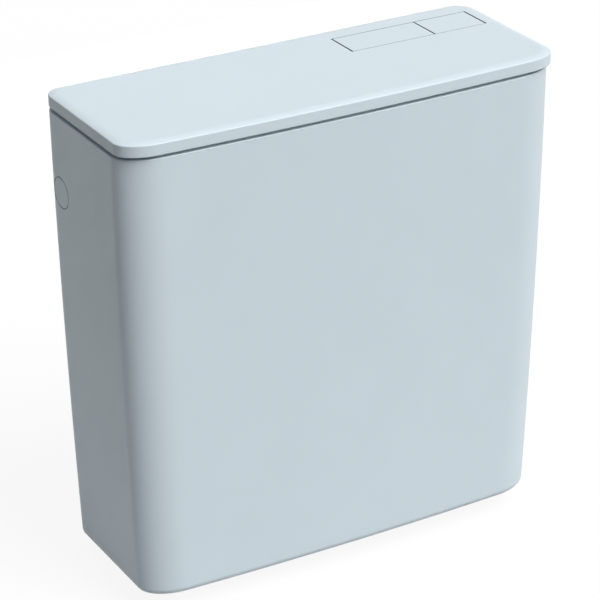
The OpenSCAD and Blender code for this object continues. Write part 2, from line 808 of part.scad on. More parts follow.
// Short lips that run along the inside of the tank's upstand and locate the lid
module locating_lips() {
    lip_out = rim_step + upstand_t + lip_gap;
    lip_x = tank_w / 4;
    intersection() {
        translate([0, 0, lid_under - lip_h]) linear_extrude(lip_h + lid_top_t / 2) difference() {
            polygon(tank_outline(lip_out, tank_h));
            polygon(tank_outline(lip_out + lip_t, tank_h));
        }
        union() {
            for (x = [-lip_x, 0, lip_x])
                block(
                    [x - lip_len / 2, lid_front - front_bow, 0],
                    [x + lip_len / 2, lid_front / 2, lid_top]
                );
            for (x = [-lip_x - lip_len / 2, -lip_len])
                block([x, -opening_back, 0], [x + lip_len, 0, lid_top]);
            block([-lid_hw, lid_front / 2 - lip_len, 0], [lid_hw, lid_front / 2, lid_top]);
        }
    }
}

module lid_ribs() {
    rib_z = lid_under - lid_rib_h;
    rib_top = lid_under + lid_top_t / 2;
    rib_end = lid_hw - skirt_t - rim_step - upstand_t - lip_t - lip_gap - lip_t;
    rib_y0 = lid_front + skirt_t + rim_step + upstand_t + lip_t + lip_gap + lip_t;
    rib_y1 = -opening_back / 2 - lip_t;
    front_rib_y = (carrier_y0 + rib_y0) / 2 - lid_boss_r;
    for (x = [carrier_x0 - lid_rib_pitch / 2:-lid_rib_pitch:-rib_end])
        block([x - lid_rib_t / 2, rib_y0, rib_z], [x + lid_rib_t / 2, rib_y1, rib_top]);
    block([-rib_end, front_rib_y - lid_rib_t / 2, rib_z], [rib_end, front_rib_y + lid_rib_t / 2, rib_top]);
    block([-rib_end, opening_y0, rib_z], [carrier_x0 - carrier_wall, opening_y0 + lid_rib_t, rib_top]);
}

module lid() {
    color(shell_colour) hung() difference() {
        union() {
            loft([for (step = lid_profile()) lid_ring(step)]);
            locating_lips();
            lid_ribs();
            each_carrier_screw() translate([0, 0, boss_face])
                cylinder(r = lid_boss_r, h = lid_boss_h + lid_top_t / 2);
        }
        block([opening_x0, opening_y0, lid_under - cut], [opening_x1, opening_y1, lid_top + cut]);
        each_carrier_screw() translate([0, 0, boss_face - cut])
            cylinder(r = small_screw_r + snug_gap, h = lid_boss_h + cut);
    }
}

// Button carrier under the lid

module pin_slot(x, y) {
    half_x = push_boss_r + carrier_slot_gap;
    half_y = push_boss_r + carrier_slot_side;
    block([x - half_x, y - half_y, carrier_z - cut], [x + half_x, y + half_y, carrier_floor_top + cut]);
}

module button_carrier() {
    wall_step = [carrier_wall, carrier_wall, 0];
    peg_r = spring_r - 2 * spring_wire_r - guide_gap;
    color(inner_colour) hung() difference() {
        union() {
            difference() {
                block([carrier_x0, carrier_y0, carrier_z], [carrier_x1, carrier_y1, lid_under]);
                block(
                    [carrier_x0, carrier_y0, carrier_floor_top] + wall_step,
                    [carrier_x1, carrier_y1, lid_under + cut] - wall_step
                );
            }
            each_carrier_screw() translate([0, 0, boss_face - ear_t]) cylinder(r = lid_boss_r, h = ear_t);
            for (x = carrier_screws_x)
                block(
                    [x - lid_boss_r, carrier_screws_y[0], boss_face - ear_t],
                    [x + lid_boss_r, carrier_y0 + carrier_wall / 2, boss_face]
                );
            for (x = carrier_screws_x)
                block(
                    [x - lid_boss_r, carrier_y1 - carrier_wall / 2, boss_face - ear_t],
                    [x + lid_boss_r, carrier_screws_y[1], boss_face]
                );
            for (place = [full_spring, half_spring])
                rod_z(carrier_z, carrier_floor_top + spring_peg_h, place, peg_r);
        }
        for (x = [full_hinge_x, half_hinge_x])
            rod_y(carrier_y0 - cut, carrier_y1 + cut, x, hinge_z, hinge_pin_r + snug_gap);
        pin_slot(full_pin_x, full_rocker_y);
        pin_slot(half_pin_x, half_rocker_y);
        each_carrier_screw() translate([0, 0, boss_face - ear_t - cut])
            cylinder(r = small_screw_r + snug_gap, h = ear_t + 2 * cut);
    }
}

module carrier_screws() {
    color(steel_colour) hung() each_carrier_screw() {
        translate([0, 0, boss_face - ear_t - small_head_h]) cylinder(r = small_head_r, h = small_head_h);
        translate([0, 0, boss_face - ear_t - small_head_h])
            cylinder(r = small_screw_r, h = small_head_h + ear_t + lid_boss_h - seat_gap);
    }
}

module plate_hinge_pins() {
    color(steel_colour) hung() for (x = [full_hinge_x, half_hinge_x])
        rod_y(carrier_y0, carrier_y1, x, hinge_z, hinge_pin_r);
}

// A flush plate with its rim, its hinge barrel and the boss for its push pin
module flush_plate(x0, x1, hinge_x, pin_x, pin_y) {
    rim_z = plate_under - plate_rim_h;
    rim_inset = [plate_rim_t, plate_rim_t, 0];
    difference() {
        union() {
            block([x0, plate_y0, plate_under], [x1, plate_y1, lid_top]);
            difference() {
                block([x0, plate_y0, rim_z], [x1, plate_y1, plate_under]);
                block(
                    [x0, plate_y0, rim_z - cut] + rim_inset,
                    [x1, plate_y1, plate_under + cut] - rim_inset
                );
            }
            rod_y(plate_y0, plate_y1, hinge_x, hinge_z, barrel_r);
            block([hinge_x - barrel_r, plate_y0, hinge_z], [hinge_x + barrel_r, plate_y1, plate_under]);
            rod_z(plate_under - push_boss_h, plate_under, [pin_x, pin_y], push_boss_r);
        }
        rod_y(plate_y0 - cut, plate_y1 + cut, hinge_x, hinge_z, hinge_pin_r + run_gap);
        rod_z(plate_under - push_boss_h - cut, plate_under, [pin_x, pin_y], push_pin_r + snug_gap);
    }
}

module full_flush_plate() {
    color(shell_colour) hung() flush_plate(full_x0, full_x1, full_hinge_x, full_pin_x, full_rocker_y);
}

module half_flush_plate() {
    color(shell_colour) hung() flush_plate(half_x0, half_x1, half_hinge_x, half_pin_x, half_rocker_y);
}

module push_pin(place) {
    rod_z(tip_z + push_pin_r, plate_under - seat_gap, place, push_pin_r);
    translate([place.x, place.y, tip_z + push_pin_r]) sphere(r = push_pin_r);
}

module full_push_pin() {
    color(lift_colour) hung() push_pin([full_pin_x, full_rocker_y]);
}

module half_push_pin() {
    color(lift_colour) hung() push_pin([half_pin_x, half_rocker_y]);
}

// Return springs

spring_rings = spring_turns * coil_steps;
spring_low = carrier_floor_top + spring_wire_r + seat_gap / 2;
spring_high = plate_under - spring_wire_r - seat_gap / 2;
function coil_angle(i) = 360 * i / coil_steps;
function coil_height(i) = spring_low + (spring_high - spring_low) * i / spring_rings;
function coil_out(i) = [cos(coil_angle(i)), sin(coil_angle(i)), 0];
function coil_centre(i) = spring_r * coil_out(i) + [0, 0, coil_height(i)];
function wire_ring(i) = [
    for (j = [0:wire_sides - 1])
        let (b = -360 * j / wire_sides)
            coil_centre(i) + spring_wire_r * (cos(b) * coil_out(i) + [0, 0, sin(b)])
];
spring_least_gap = min([
    for (i = [0:spring_rings], j = [i + coil_steps / 2:1:spring_rings])
        norm(coil_centre(i) - coil_centre(j)) - 2 * spring_wire_r
]);
echo(spring_least_gap = spring_least_gap);

module plate_spring(place) {
    translate([place.x, place.y, 0]) loft([for (i = [0:spring_rings]) wire_ring(i)]);
}

module full_plate_spring() {
    color(steel_colour) hung() plate_spring(full_spring);
}

module half_plate_spring() {
    color(steel_colour) hung() plate_spring(half_spring);
}

// Rocker bracket on the back wall

module cheek(back) {
    translate([pivot_x, back, pivot_z]) rotate([90, 0, 0]) linear_extrude(bracket_t) difference() {
        union() {
            translate([-cheek_w / 2, -shelf_drop - bracket_t / 2])
                square([cheek_w, shelf_drop - cheek_r / 2 + bracket_t / 2]);
            translate([-cheek_r, -cheek_r]) square([2 * cheek_r, cheek_r]);
            circle(r = cheek_r);
        }
        circle(r = pivot_pin_r + snug_gap);
    }
}

module rocker_bracket() {
    shelf_top = pivot_z - shelf_drop;
    rib_foot = pivot_z - bracket_below;
    rib_top = shelf_top - bracket_t / 2;
    color(inner_colour) hung() difference() {
        union() {
            block(
                [pivot_x - bracket_w / 2, bracket_back - bracket_t, pivot_z - bracket_below],
                [pivot_x + bracket_w / 2, bracket_back, pivot_z + bracket_above]
            );
            block(
                [pivot_x - shelf_w / 2, bracket_front, shelf_top - bracket_t],
                [pivot_x + shelf_w / 2, bracket_back - bracket_t / 2, shelf_top]
            );
            for (back = [-cheek_y, half_bay - bay_w, full_bay - bay_w])
                cheek(back);
            for (x = [pivot_x - shelf_w / 2, pivot_x + shelf_w / 2 - bracket_t])
                translate([x, bracket_back - bracket_t / 2, 0]) rotate([90, 0, 90]) linear_extrude(bracket_t)
                    polygon([[0, rib_foot], [0, rib_top], [half_bay - bracket_back, rib_top]]);
        }
        each_bracket_screw()
            rod_y(bracket_back - bracket_t - cut, bracket_back + cut, 0, 0, screw_r + snug_gap);
    }
}

module bracket_screws() {
    color(steel_colour) hung() each_bracket_screw() {
        rod_y(bracket_back - bracket_t - screw_head_h, bracket_back - bracket_t, 0, 0, screw_head_r);
        rod_y(bracket_back - bracket_t - screw_head_h, bracket_back + screw_grip - seat_gap, 0, 0, screw_r);
    }
}

module rocker_pivot_pin() {
    color(steel_colour) hung() {
        rod_y(bracket_front, -cheek_y + seat_gap, pivot_x, pivot_z, pivot_pin_r);
        rod_y(bracket_front - bracket_t / 2, bracket_front, pivot_x, pivot_z, pivot_pin_r + bracket_t / 2);
    }
}

// A lever from a push pin's pad over the pivot to a fork under a lift rod's head
module rocker(bay, pin_x, rod_y_place) {
    mid = bay - bay_w / 2;
    arm_z0 = pivot_z - rocker_t / 2;
    half = rocker_w / 2;
    right = pin_x + pad_len / 2;
    bend = pivot_x - bend_x;
    fork_half = rod_slot / 2 + tine_w;
    difference() {
        union() {
            translate([0, 0, arm_z0]) linear_extrude(rocker_t) polygon([
                [right, mid - half], [right, mid + half], [bend, mid + half],
                [fork_len, rod_y_place + half], [fork_len, rod_y_place - half], [bend, mid - half]
            ]);
            block([pin_x - pad_len / 2, mid - half, pivot_z], [right, mid + half, pad_z]);
            rod_y(bay - bay_w + seat_gap, bay - seat_gap, pivot_x, pivot_z, hub_r);
            block(
                [0, rod_y_place - fork_half, arm_z0 + fork_thin],
                [fork_len + fork_thin, rod_y_place + fork_half, arm_z0 + rocker_t - fork_thin]
            );
            rod_y(rod_y_place - fork_half, rod_y_place + fork_half, 0, pivot_z, nose_r);
        }
        rod_y(bay - bay_w - cut, bay + cut, pivot_x, pivot_z, pivot_pin_r + run_gap);
        block(
            [-nose_r - cut, rod_y_place - rod_slot / 2, arm_z0 - cut],
            [fork_len - fork_root, rod_y_place + rod_slot / 2, arm_z0 + rocker_t + cut]
        );
    }
}

module full_rocker() {
    color(lift_colour) hung() rocker(full_bay, full_pin_x, full_rod_place.y);
}

module half_rocker() {
    color(lift_colour) hung() rocker(half_bay, half_pin_x, half_rod_place.y);
}

module lift_rod(foot, place, r) {
    rod_z(foot, head_z + rod_head_h, place, r);
    rod_z(head_z, head_z + rod_head_h, place, rod_head_r);
}

module full_lift_rod() {
    color(lift_colour) hung() lift_rod(overflow_top - bridge_h, full_rod_place, full_rod_r);
}

module half_lift_rod() {
    color(lift_colour) hung() lift_rod(half_float_top - half_rod_grip, half_rod_place, half_rod_r);
}

// Outlet through the floor

module outlet_spigot() {
    bevel = seat_w / 4;
    lip_r = throat_r + seat_w;
    color(grey_colour) hung() translate([0, -valve_y, 0]) rotate_extrude() polygon([
        [outlet_bore_r, -spigot_drop], [outlet_bore_r, bore_rise], [throat_r, bore_rise],
        [throat_r, seat_top - bevel], [throat_r + bevel, seat_top],
        [lip_r - bevel, seat_top], [lip_r, seat_top - bevel],
        [lip_r, flange_top], [flange_r, flange_top], [flange_r, flange_z],
        [spigot_r, flange_z], [spigot_r, -spigot_drop]
    ]);
}

module spigot_gasket() {
    color(rubber_colour) hung()
        tube_z(floor_t, flange_z, full_rod_place, flange_r - seat_gap, spigot_r + snug_gap);
}

module spigot_locknut() {
    color(grey_colour) hung() difference() {
        translate([0, -valve_y, -nut_h]) rotate(180 / nut_sides)
            cylinder(r = nut_r, h = nut_h, $fn = nut_sides);
        rod_z(-nut_h - cut, cut, full_rod_place, spigot_r + snug_gap);
    }
}

// Flush valve housing

module valve_basket() {
    window_low = flange_top + window_band;
    window_high = basket_top - basket_wall - window_band;
    top_r = basket_r - basket_wall / 2;
    color(valve_colour) hung() difference() {
        union() {
            tube_z(flange_top, basket_top, full_rod_place, basket_r, basket_r - basket_wall);
            tube_z(basket_top - basket_wall, basket_top, full_rod_place, top_r, overflow_r + guide_gap);
        }
        translate([0, -valve_y, 0]) for (i = [0:window_count - 1])
            rotate(360 * i / window_count)
                block(
                    [basket_r / 2, -window_w / 2, window_low],
                    [basket_r + cut, window_w / 2, window_high]
                );
    }
}

module valve_tower() {
    tube_in = tower_r - tower_wall;
    low_ring = basket_top + tower_ring_h;
    mid_low = (basket_top + cap_z - tower_ring_h) / 2;
    mid_high = mid_low + tower_ring_h;
    top_ring = cap_z - tower_ring_h;
    color(valve_colour) hung() translate([0, -valve_y, 0]) difference() {
        rotate_extrude() polygon([
            [tower_r, basket_top], [tower_r, cap_z], [tower_in, cap_z], [tower_in, top_ring],
            [tube_in, top_ring], [tube_in, mid_high], [tower_in, mid_high], [tower_in, mid_low],
            [tube_in, mid_low], [tube_in, low_ring], [tower_in, low_ring], [tower_in, basket_top]
        ]);
        for (bay = [[low_ring, mid_low], [mid_high, top_ring]])
            block(
                [-tower_window_w / 2, -tower_r - cut, bay[0]],
                [tower_window_w / 2, tower_r + cut, bay[1]]
            );
    }
}

module tower_cap() {
    color(valve_colour) hung() difference() {
        union() {
            rod_z(cap_z, cap_z + cap_t, full_rod_place, tower_r);
            rod_z(cap_z, cap_top, full_rod_place, full_rod_r + guide_gap + guide_wall);
            rod_z(cap_z, cap_top, half_rod_place, half_rod_r + guide_gap + guide_wall);
        }
        rod_z(cap_z - cut, cap_top + cut, full_rod_place, full_rod_r + guide_gap);
        rod_z(cap_z - cut, cap_top + cut, half_rod_place, half_rod_r + guide_gap);
    }
}

// Lifting bell and floats

module overflow_pipe() {
    bridge_half = [overflow_r - overflow_wall / 2, bridge_w / 2];
    color(grey_colour) hung() difference() {
        union() {
            tube_z(disc_z, overflow_top, full_rod_place, overflow_r, overflow_in);
            block(
                [-bridge_half.x, -valve_y - bridge_half.y, overflow_top - bridge_h],
                [bridge_half.x, -valve_y + bridge_half.y, overflow_top - overflow_wall]
            );
        }
        rod_z(overflow_top - bridge_h - cut, overflow_top + cut, full_rod_place, full_rod_r + snug_gap);
    }
}

module valve_disc() {
    bore_r = overflow_r + snug_gap;
    color(valve_colour) hung() {
        tube_z(disc_z, disc_z + disc_t, full_rod_place, disc_r, bore_r);
        tube_z(disc_z, disc_z + disc_t + collar_h, full_rod_place, overflow_r + collar_t, bore_r);
    }
}

module valve_seal() {
    color(rubber_colour) hung() tube_z(seal_z, disc_z, full_rod_place, disc_r, throat_r - disc_margin);
}

module full_flush_float() {
    color(foam_colour) hung()
        tube_z(full_float_z, full_float_z + full_float_h, full_rod_place, float_r, overflow_r + snug_gap);
}

module half_flush_float() {
    bottom = half_float_top - half_float_h;
    grip_low = half_float_top - half_rod_grip - seat_gap;
    color(foam_colour) hung() difference() {
        tube_z(bottom, half_float_top, full_rod_place, float_r, overflow_r + guide_gap);
        rod_z(grip_low, half_float_top + cut, half_rod_place, half_rod_r + snug_gap);
    }
}

// Water inlet through the right wall

module inlet_shank() {
    shoulder_r = side_hole_r - seat_gap;
    shoulder_end = wall_out - seat_gap;
    color(brass_colour) hung() translate([0, -side_y, inlet_z]) rotate([0, 90, 0]) rotate_extrude() polygon([
        [passage_r, fill_x1 - socket_len], [inlet_r, fill_x1 - socket_len], [inlet_r, collar_x],
        [collar_r, collar_x], [collar_r, inlet_gasket_x], [shoulder_r, inlet_gasket_x],
        [shoulder_r, shoulder_end], [inlet_r, shoulder_end], [inlet_r, tail_x],
        [tail_r, tail_x], [tail_r, inlet_end - tail_bevel],
        [tail_r - tail_bevel, inlet_end], [passage_r, inlet_end]
    ]);
}

module inlet_gasket() {
    bore_r = side_hole_r - seat_gap + snug_gap;
    color(rubber_colour) hung()
        tube_x(inlet_gasket_x, inlet_gasket_x + inlet_gasket_t, -side_y, inlet_z, collar_r, bore_r);
}

module inlet_locknut() {
    color(brass_colour) hung() difference() {
        translate([nut_x, -side_y, inlet_z]) rotate([0, 90, 0])
            cylinder(r = inlet_nut_r, h = inlet_nut_h, $fn = inlet_nut_sides);
        rod_x(nut_x - cut, tail_x + cut, -side_y, inlet_z, inlet_r + snug_gap);
    }
}

module inlet_strainer() {
    strainer_r = passage_r - snug_gap;
    strainer_x = inlet_end - tail_bevel - strainer_len;
    color(grey_colour) hung() difference() {
        rod_x(strainer_x, strainer_x + strainer_len, -side_y, inlet_z, strainer_r);
        rod_x(strainer_x + strainer_wall, inlet_end, -side_y, inlet_z, strainer_r - strainer_wall);
        translate([0, -side_y, inlet_z]) for (i = [0:strainer_slots - 1])
            rotate([360 * i / strainer_slots, 0, 0]) block(
                [strainer_x + 3 * strainer_wall, -strainer_slot_w / 2, passage_r / 2],
                [strainer_x + strainer_len - 3 * strainer_wall, strainer_slot_w / 2, passage_r + cut]
            );
    }
}

// Fill valve

module fill_valve_body() {
    boss_low = inlet_z - downpipe_boss;
    color(inner_colour) hung() difference() {
        union() {
            rod_x(fill_x0, fill_x1, -side_y, inlet_z, fill_r);
            rod_x(fill_x0, fill_x0 + fill_flange_t, -side_y, inlet_z, fill_flange_r);
            rod_z(boss_low, inlet_z, downpipe_place, downpipe_r + clip_wall);
        }
        rod_x(fill_x1 - socket_len - seat_gap, fill_x1 + cut, -side_y, inlet_z, inlet_r + snug_gap);
        rod_x(fill_x0 - cut, fill_x1, -side_y, inlet_z, passage_r);
        rod_z(boss_low - cut, boss_low + downpipe_socket, downpipe_place, downpipe_r + snug_gap);
        rod_z(boss_low, inlet_z, downpipe_place, downpipe_r - downpipe_wall);
    }
}

module fill_diaphragm() {
    color(rubber_colour) hung()
        rod_x(diaphragm_x, fill_x0, -side_y, inlet_z, fill_flange_r - diaphragm_margin);
}

module fill_valve_cap() {
    ear_in = arm_hub_w / 2 + seat_gap;
    ear_out = ear_in + arm_ear_t;
    color(valve_colour) hung() difference() {
        union() {
            rod_x(cap_x, diaphragm_x, -side_y, inlet_z, fill_flange_r);
            rod_x(cap_nose_x, cap_x, -side_y, inlet_z, cap_nose_r);
            rod_x(cap_nose_x - pilot_r, cap_x, -side_y, inlet_z - pilot_r, pilot_r);
            for (y = [-side_y - ear_out, -side_y + ear_in]) {
                block([arm_x, y, arm_z - arm_hub_r], [cap_x, y + arm_ear_t, arm_z + arm_hub_r]);
                rod_y(y, y + arm_ear_t, arm_x, arm_z, arm_hub_r);
            }
        }
        rod_y(-side_y - ear_out - cut, -side_y + ear_out + cut, arm_x, arm_z, arm_pin_r + snug_gap);
    }
}

module arm_pivot_pin() {
    reach = arm_hub_w / 2 + seat_gap + arm_ear_t;
    color(steel_colour) hung() rod_y(-side_y - reach, -side_y + reach, arm_x, arm_z, arm_pin_r);
}

// The arm is drawn level about its pivot, then dropped to where an empty tank leaves it
module float_arm() {
    end_y = side_y - fill_float_y;
    fork_x = arm_fork_len - arm_len;
    half = arm_w / 2;
    fork_half = arm_slot / 2 + arm_tine_w;
    color(lift_colour) hung() translate([arm_x, -side_y, arm_z]) rotate([0, -arm_angle, 0]) difference() {
        union() {
            translate([0, 0, -arm_t / 2]) linear_extrude(arm_t) polygon([
                [0, half], [0, -half], [fork_x, end_y - half], [fork_x, end_y + half]
            ]);
            block([-arm_len, end_y - fork_half, -arm_t / 2], [fork_x + arm_t, end_y + fork_half, arm_t / 2]);
            rod_y(end_y - fork_half, end_y + fork_half, -arm_len, 0, arm_nose_r);
            rod_y(-arm_hub_w / 2, arm_hub_w / 2, 0, 0, arm_hub_r);
        }
        rod_y(-arm_hub_w, arm_hub_w, 0, 0, arm_pin_r + run_gap);
        block(
            [-arm_len - arm_nose_r - cut, end_y - arm_slot / 2, -arm_hub_r],
            [adjuster_collar_r - arm_len, end_y + arm_slot / 2, arm_hub_r]
        );
    }
}

module adjuster_rod() {
    low_collar = arm_end_z - arm_nose_r - seat_gap;
    high_collar = arm_end_z + arm_nose_r + seat_gap;
    rod_top = high_collar + 2 * adjuster_collar_t;
    color(grey_colour) hung() {
        rod_z(fill_float_top - adjuster_grip, rod_top, fill_float_place, adjuster_r);
        rod_z(low_collar - adjuster_collar_t, low_collar, fill_float_place, adjuster_collar_r);
        rod_z(high_collar, high_collar + adjuster_collar_t, fill_float_place, adjuster_collar_r);
    }
}

module fill_float() {
    grip_low = fill_float_top - adjuster_grip - float_wall;
    hollow_r = fill_float_r - float_wall;
    color(foam_colour) hung() difference() {
        union() {
            difference() {
                rod_z(fill_float_z, fill_float_top, fill_float_place, fill_float_r);
                rod_z(fill_float_z - cut, fill_float_top - float_wall, fill_float_place, hollow_r);
            }
            rod_z(grip_low, fill_float_top, fill_float_place, adjuster_r + 2 * float_wall);
        }
        rod_z(grip_low + float_wall, fill_float_top + cut, fill_float_place, adjuster_r + snug_gap);
    }
}

module float_chamber() {
    inner_r = fill_float_r + float_gap;
    outer_r = inner_r + float_wall;
    clip_z = clip_top - clip_h;
    clip_r = downpipe_r + clip_wall;
    color(inner_colour) hung() difference() {
        union() {
            rod_z(chamber_z, chamber_top, fill_float_place, outer_r);
            translate([0, 0, clip_z]) linear_extrude(clip_h) polygon([
                fill_float_place - [0, arm_w / 2], fill_float_place + [0, arm_w / 2],
                downpipe_place + [0, arm_w / 2], downpipe_place - [0, arm_w / 2]
            ]);
            rod_z(clip_z, clip_top, downpipe_place, clip_r);
        }
        rod_z(chamber_z + float_wall, chamber_top + cut, fill_float_place, inner_r);
        rod_z(chamber_z - cut, chamber_top, fill_float_place, drain_r);
        rod_z(clip_z - cut, clip_top + cut, downpipe_place, downpipe_r + snug_gap);
    }
}

module downpipe() {
    top = inlet_z - downpipe_boss + downpipe_socket - seat_gap;
    inner_r = downpipe_r - downpipe_wall;
    color(grey_colour) hung()
        tube_z(floor_t + downpipe_foot, top, downpipe_place, downpipe_r, inner_r);
}

tank();
insulation_liner();
side_plug();
lid();
button_carrier();
carrier_screws();
plate_hinge_pins();
full_flush_plate();
half_flush_plate();
full_push_pin();
half_push_pin();
full_plate_spring();
half_plate_spring();
rocker_bracket();
bracket_screws();
rocker_pivot_pin();
full_rocker();
half_rocker();
full_lift_rod();
half_lift_rod();
outlet_spigot();
spigot_gasket();
spigot_locknut();
valve_basket();
valve_tower();
tower_cap();
overflow_pipe();
valve_disc();
valve_seal();
full_flush_float();
half_flush_float();
inlet_shank();
inlet_gasket();
inlet_locknut();
inlet_strainer();
fill_valve_body();
fill_diaphragm();
fill_valve_cap();
float_arm();
arm_pivot_pin();
adjuster_rod();
fill_float();
float_chamber();
downpipe();
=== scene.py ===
"""Looks of a wall-hung toilet cistern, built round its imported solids.

Shapes are worked out in millimetres from the tank's underside, with X to the right and Y into the wall.
in_frame() turns them into metres in the frame that the solids share.
"""
import json
import math

import bmesh
import bpy
from mathutils import Matrix, Vector

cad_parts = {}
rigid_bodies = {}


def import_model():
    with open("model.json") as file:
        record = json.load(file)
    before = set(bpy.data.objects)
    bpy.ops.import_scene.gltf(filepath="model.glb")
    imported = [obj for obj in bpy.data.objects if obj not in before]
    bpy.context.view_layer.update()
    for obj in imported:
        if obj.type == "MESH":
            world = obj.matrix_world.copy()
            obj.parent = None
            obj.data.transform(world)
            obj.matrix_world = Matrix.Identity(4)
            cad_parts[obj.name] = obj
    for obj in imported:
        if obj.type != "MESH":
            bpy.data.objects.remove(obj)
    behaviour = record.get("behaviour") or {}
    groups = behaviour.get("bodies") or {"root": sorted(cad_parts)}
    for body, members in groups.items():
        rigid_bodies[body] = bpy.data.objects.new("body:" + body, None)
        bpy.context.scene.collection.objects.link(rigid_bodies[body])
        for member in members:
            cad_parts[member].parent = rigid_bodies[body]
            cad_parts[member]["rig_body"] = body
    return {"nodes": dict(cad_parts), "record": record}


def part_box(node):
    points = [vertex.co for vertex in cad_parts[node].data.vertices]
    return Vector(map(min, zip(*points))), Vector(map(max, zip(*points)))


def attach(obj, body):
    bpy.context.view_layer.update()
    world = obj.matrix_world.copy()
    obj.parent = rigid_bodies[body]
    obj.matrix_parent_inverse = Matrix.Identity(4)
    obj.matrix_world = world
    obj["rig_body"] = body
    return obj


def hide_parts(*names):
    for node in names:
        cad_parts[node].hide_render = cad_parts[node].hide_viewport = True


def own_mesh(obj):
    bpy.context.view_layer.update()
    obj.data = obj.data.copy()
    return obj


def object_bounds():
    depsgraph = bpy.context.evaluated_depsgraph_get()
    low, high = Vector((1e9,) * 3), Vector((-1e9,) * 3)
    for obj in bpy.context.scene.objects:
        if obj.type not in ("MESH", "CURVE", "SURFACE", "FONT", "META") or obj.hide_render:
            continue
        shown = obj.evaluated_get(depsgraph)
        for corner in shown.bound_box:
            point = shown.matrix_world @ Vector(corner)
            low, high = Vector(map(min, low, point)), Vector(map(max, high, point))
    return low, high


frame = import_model()
cad_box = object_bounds()

# Places taken from the solids
MM = 0.001
tank_low, tank_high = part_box("tank")
lid_low, lid_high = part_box("lid")
UNDERSIDE = tank_low.z
LID_TOP = (lid_high.z - UNDERSIDE) / MM
LID_HALF_WIDTH = lid_high.x / MM
TANK_HALF_WIDTH = tank_high.x / MM
UPSTAND_TOP = (tank_high.z - UNDERSIDE) / MM

# Shape of the shells
TANK_H = 385
FRONT_BOW = 4.4
TANK_DEPTH = -tank_low.y / MM - FRONT_BOW
LID_FRONT = lid_low.y / MM + FRONT_BOW
LID_BACK = lid_high.y / MM
SIDE_DRAFT = 9.6
FRONT_DRAFT = 5.6
SIDE_BULGE = 1.6
FRONT_BULGE = 0.6
WALL = 3.2
FLOOR_T = 4
FRONT_CORNER_W = 34
FRONT_CORNER_R = 22
BACK_CORNER_R = 15
FOOT_R = 7
RIM_R = 1
RIM_STEP = 3
UPSTAND_T = 2.2
UPSTAND_EDGE_R = 0.5
BEAD_H = 10
BEAD_SLOPE = 6
HANG_Z = 352
HANG_X = 125
HANG_HOLE_R = 4
HANG_PAD_R = 9
HANG_PAD_T = 3
SIDE_HOLE_Y = -25
SIDE_HOLE_Z = 320
SIDE_HOLE_R = 13
SIDE_PAD_R = 18
SIDE_PAD_T = 2.6
SIDE_PAD_ROOT = WALL / 4
PLUG_R = 12.7
PLUG_FLANGE_R = 16
PLUG_FLANGE_T = 2
PLUG_GAP = 0.3
PLUG_RECESS = 2.4
PLUG_EDGE_R = 0.8
HOLE_EDGE_R = 0.8
# Depth along the plug's axis where the painted shade in the gap round it begins
PLUG_SHADE = 0.3
OUTLET_Y = -62
OUTLET_HOLE_R = 31.9
BRACKET_X = 80.4
BRACKET_SCREW_X = 16
BRACKET_SCREW_Z = 360
BRACKET_BOSS_R = 5
BRACKET_BOSS_LEN = 6
BRACKET_HOLE_R = 2.02
BRACKET_HOLE_LEN = 5

# Lid
LID_GAP = 3.2
LID_BOTTOM = TANK_H + LID_GAP
LID_TOP_T = 2.5
LID_UNDER = LID_TOP - LID_TOP_T
SKIRT_T = 2.2
LID_CORNER_W = 28
LID_CORNER_R = 18
LID_EDGE_R = 0.9
CROWN_W = 8
CROWN_DROP = 1.5
SKIRT_EDGE_R = 0.6
OPENING_X = (53.4, 182.1)
OPENING_Y = (-54.75, -20.75)
OPENING_EDGE_R = 0.12
LIP_T = 2
LIP_H = 18
LIP_LEN = 36
LIP_GAP = 0.6
LIP_X = 97.1
RIB_T = 1.6
RIB_H = 4
RIB_PITCH = 44
CARRIER_MARGIN = 5
CARRIER_WALL = 2
LID_BOSS_R = 3.4
LID_BOSS_H = 5.5
LID_SCREW_R = 1.52
LID_SCREW_INSET = 22

# Foam liner
LINER_T = 6
LINER_GAP = 0.3
LINER_TOP = 296
LINER_BEVEL = 5
LINER_EDGE_R = 1.2
LINER_HOLE_R = 44

# Return springs, with the joint that presses each and what is left of its height then
SPRING_R = 4
SPRING_WIRE_R = 0.45
SPRING_TURNS = 5
SPRING_END_TURNS = 0.75
SPRINGS = {
    "full_plate_spring": ("full_flush_press", 0.64),
    "half_plate_spring": ("half_flush_press", 0.71),
}

# Outlet
SPIGOT_R = 31.5
SPIGOT_BORE_R = 25.2
SPIGOT_BORE_END = 6
SPIGOT_THROAT_R = 24
SPIGOT_LIP_W = 4
SPIGOT_FLANGE_R = 41
SPIGOT_FLANGE = (7, 11)
SPIGOT_SEAT = 15
SPIGOT_PITCH = 3
SPIGOT_THREAD = 1.2
SPIGOT_NUT_R = 41
SPIGOT_NUT_H = 11
SPIGOT_NUT_SIDES = 8

# Water inlet
INLET_R = 11.4
INLET_TAIL_R = 10.48
INLET_PASSAGE_R = 6
INLET_COLLAR_R = 17
INLET_COLLAR_T = 4
INLET_SHOULDER_R = 12.7
INLET_TAIL_BEVEL = 0.8
INLET_PITCH = 1.81
INLET_THREAD = 1.1
INLET_NUT_R = 17
INLET_NUT_SIDES = 6
NUT_SLACK = 0.02
EDGE = 0.3

# Rounded edges of the solids that are shown as they are, and the flush plates' plastic with painted shade
# on their upright faces
SOLID_EDGE = 0.25
SOLID_EDGE_R = {"full_flush_plate": 0.12, "half_flush_plate": 0.12}
PAINTED_SHADE_SLOTS = {"full_flush_plate": "shell_painted_shade", "half_flush_plate": "shell_painted_shade"}

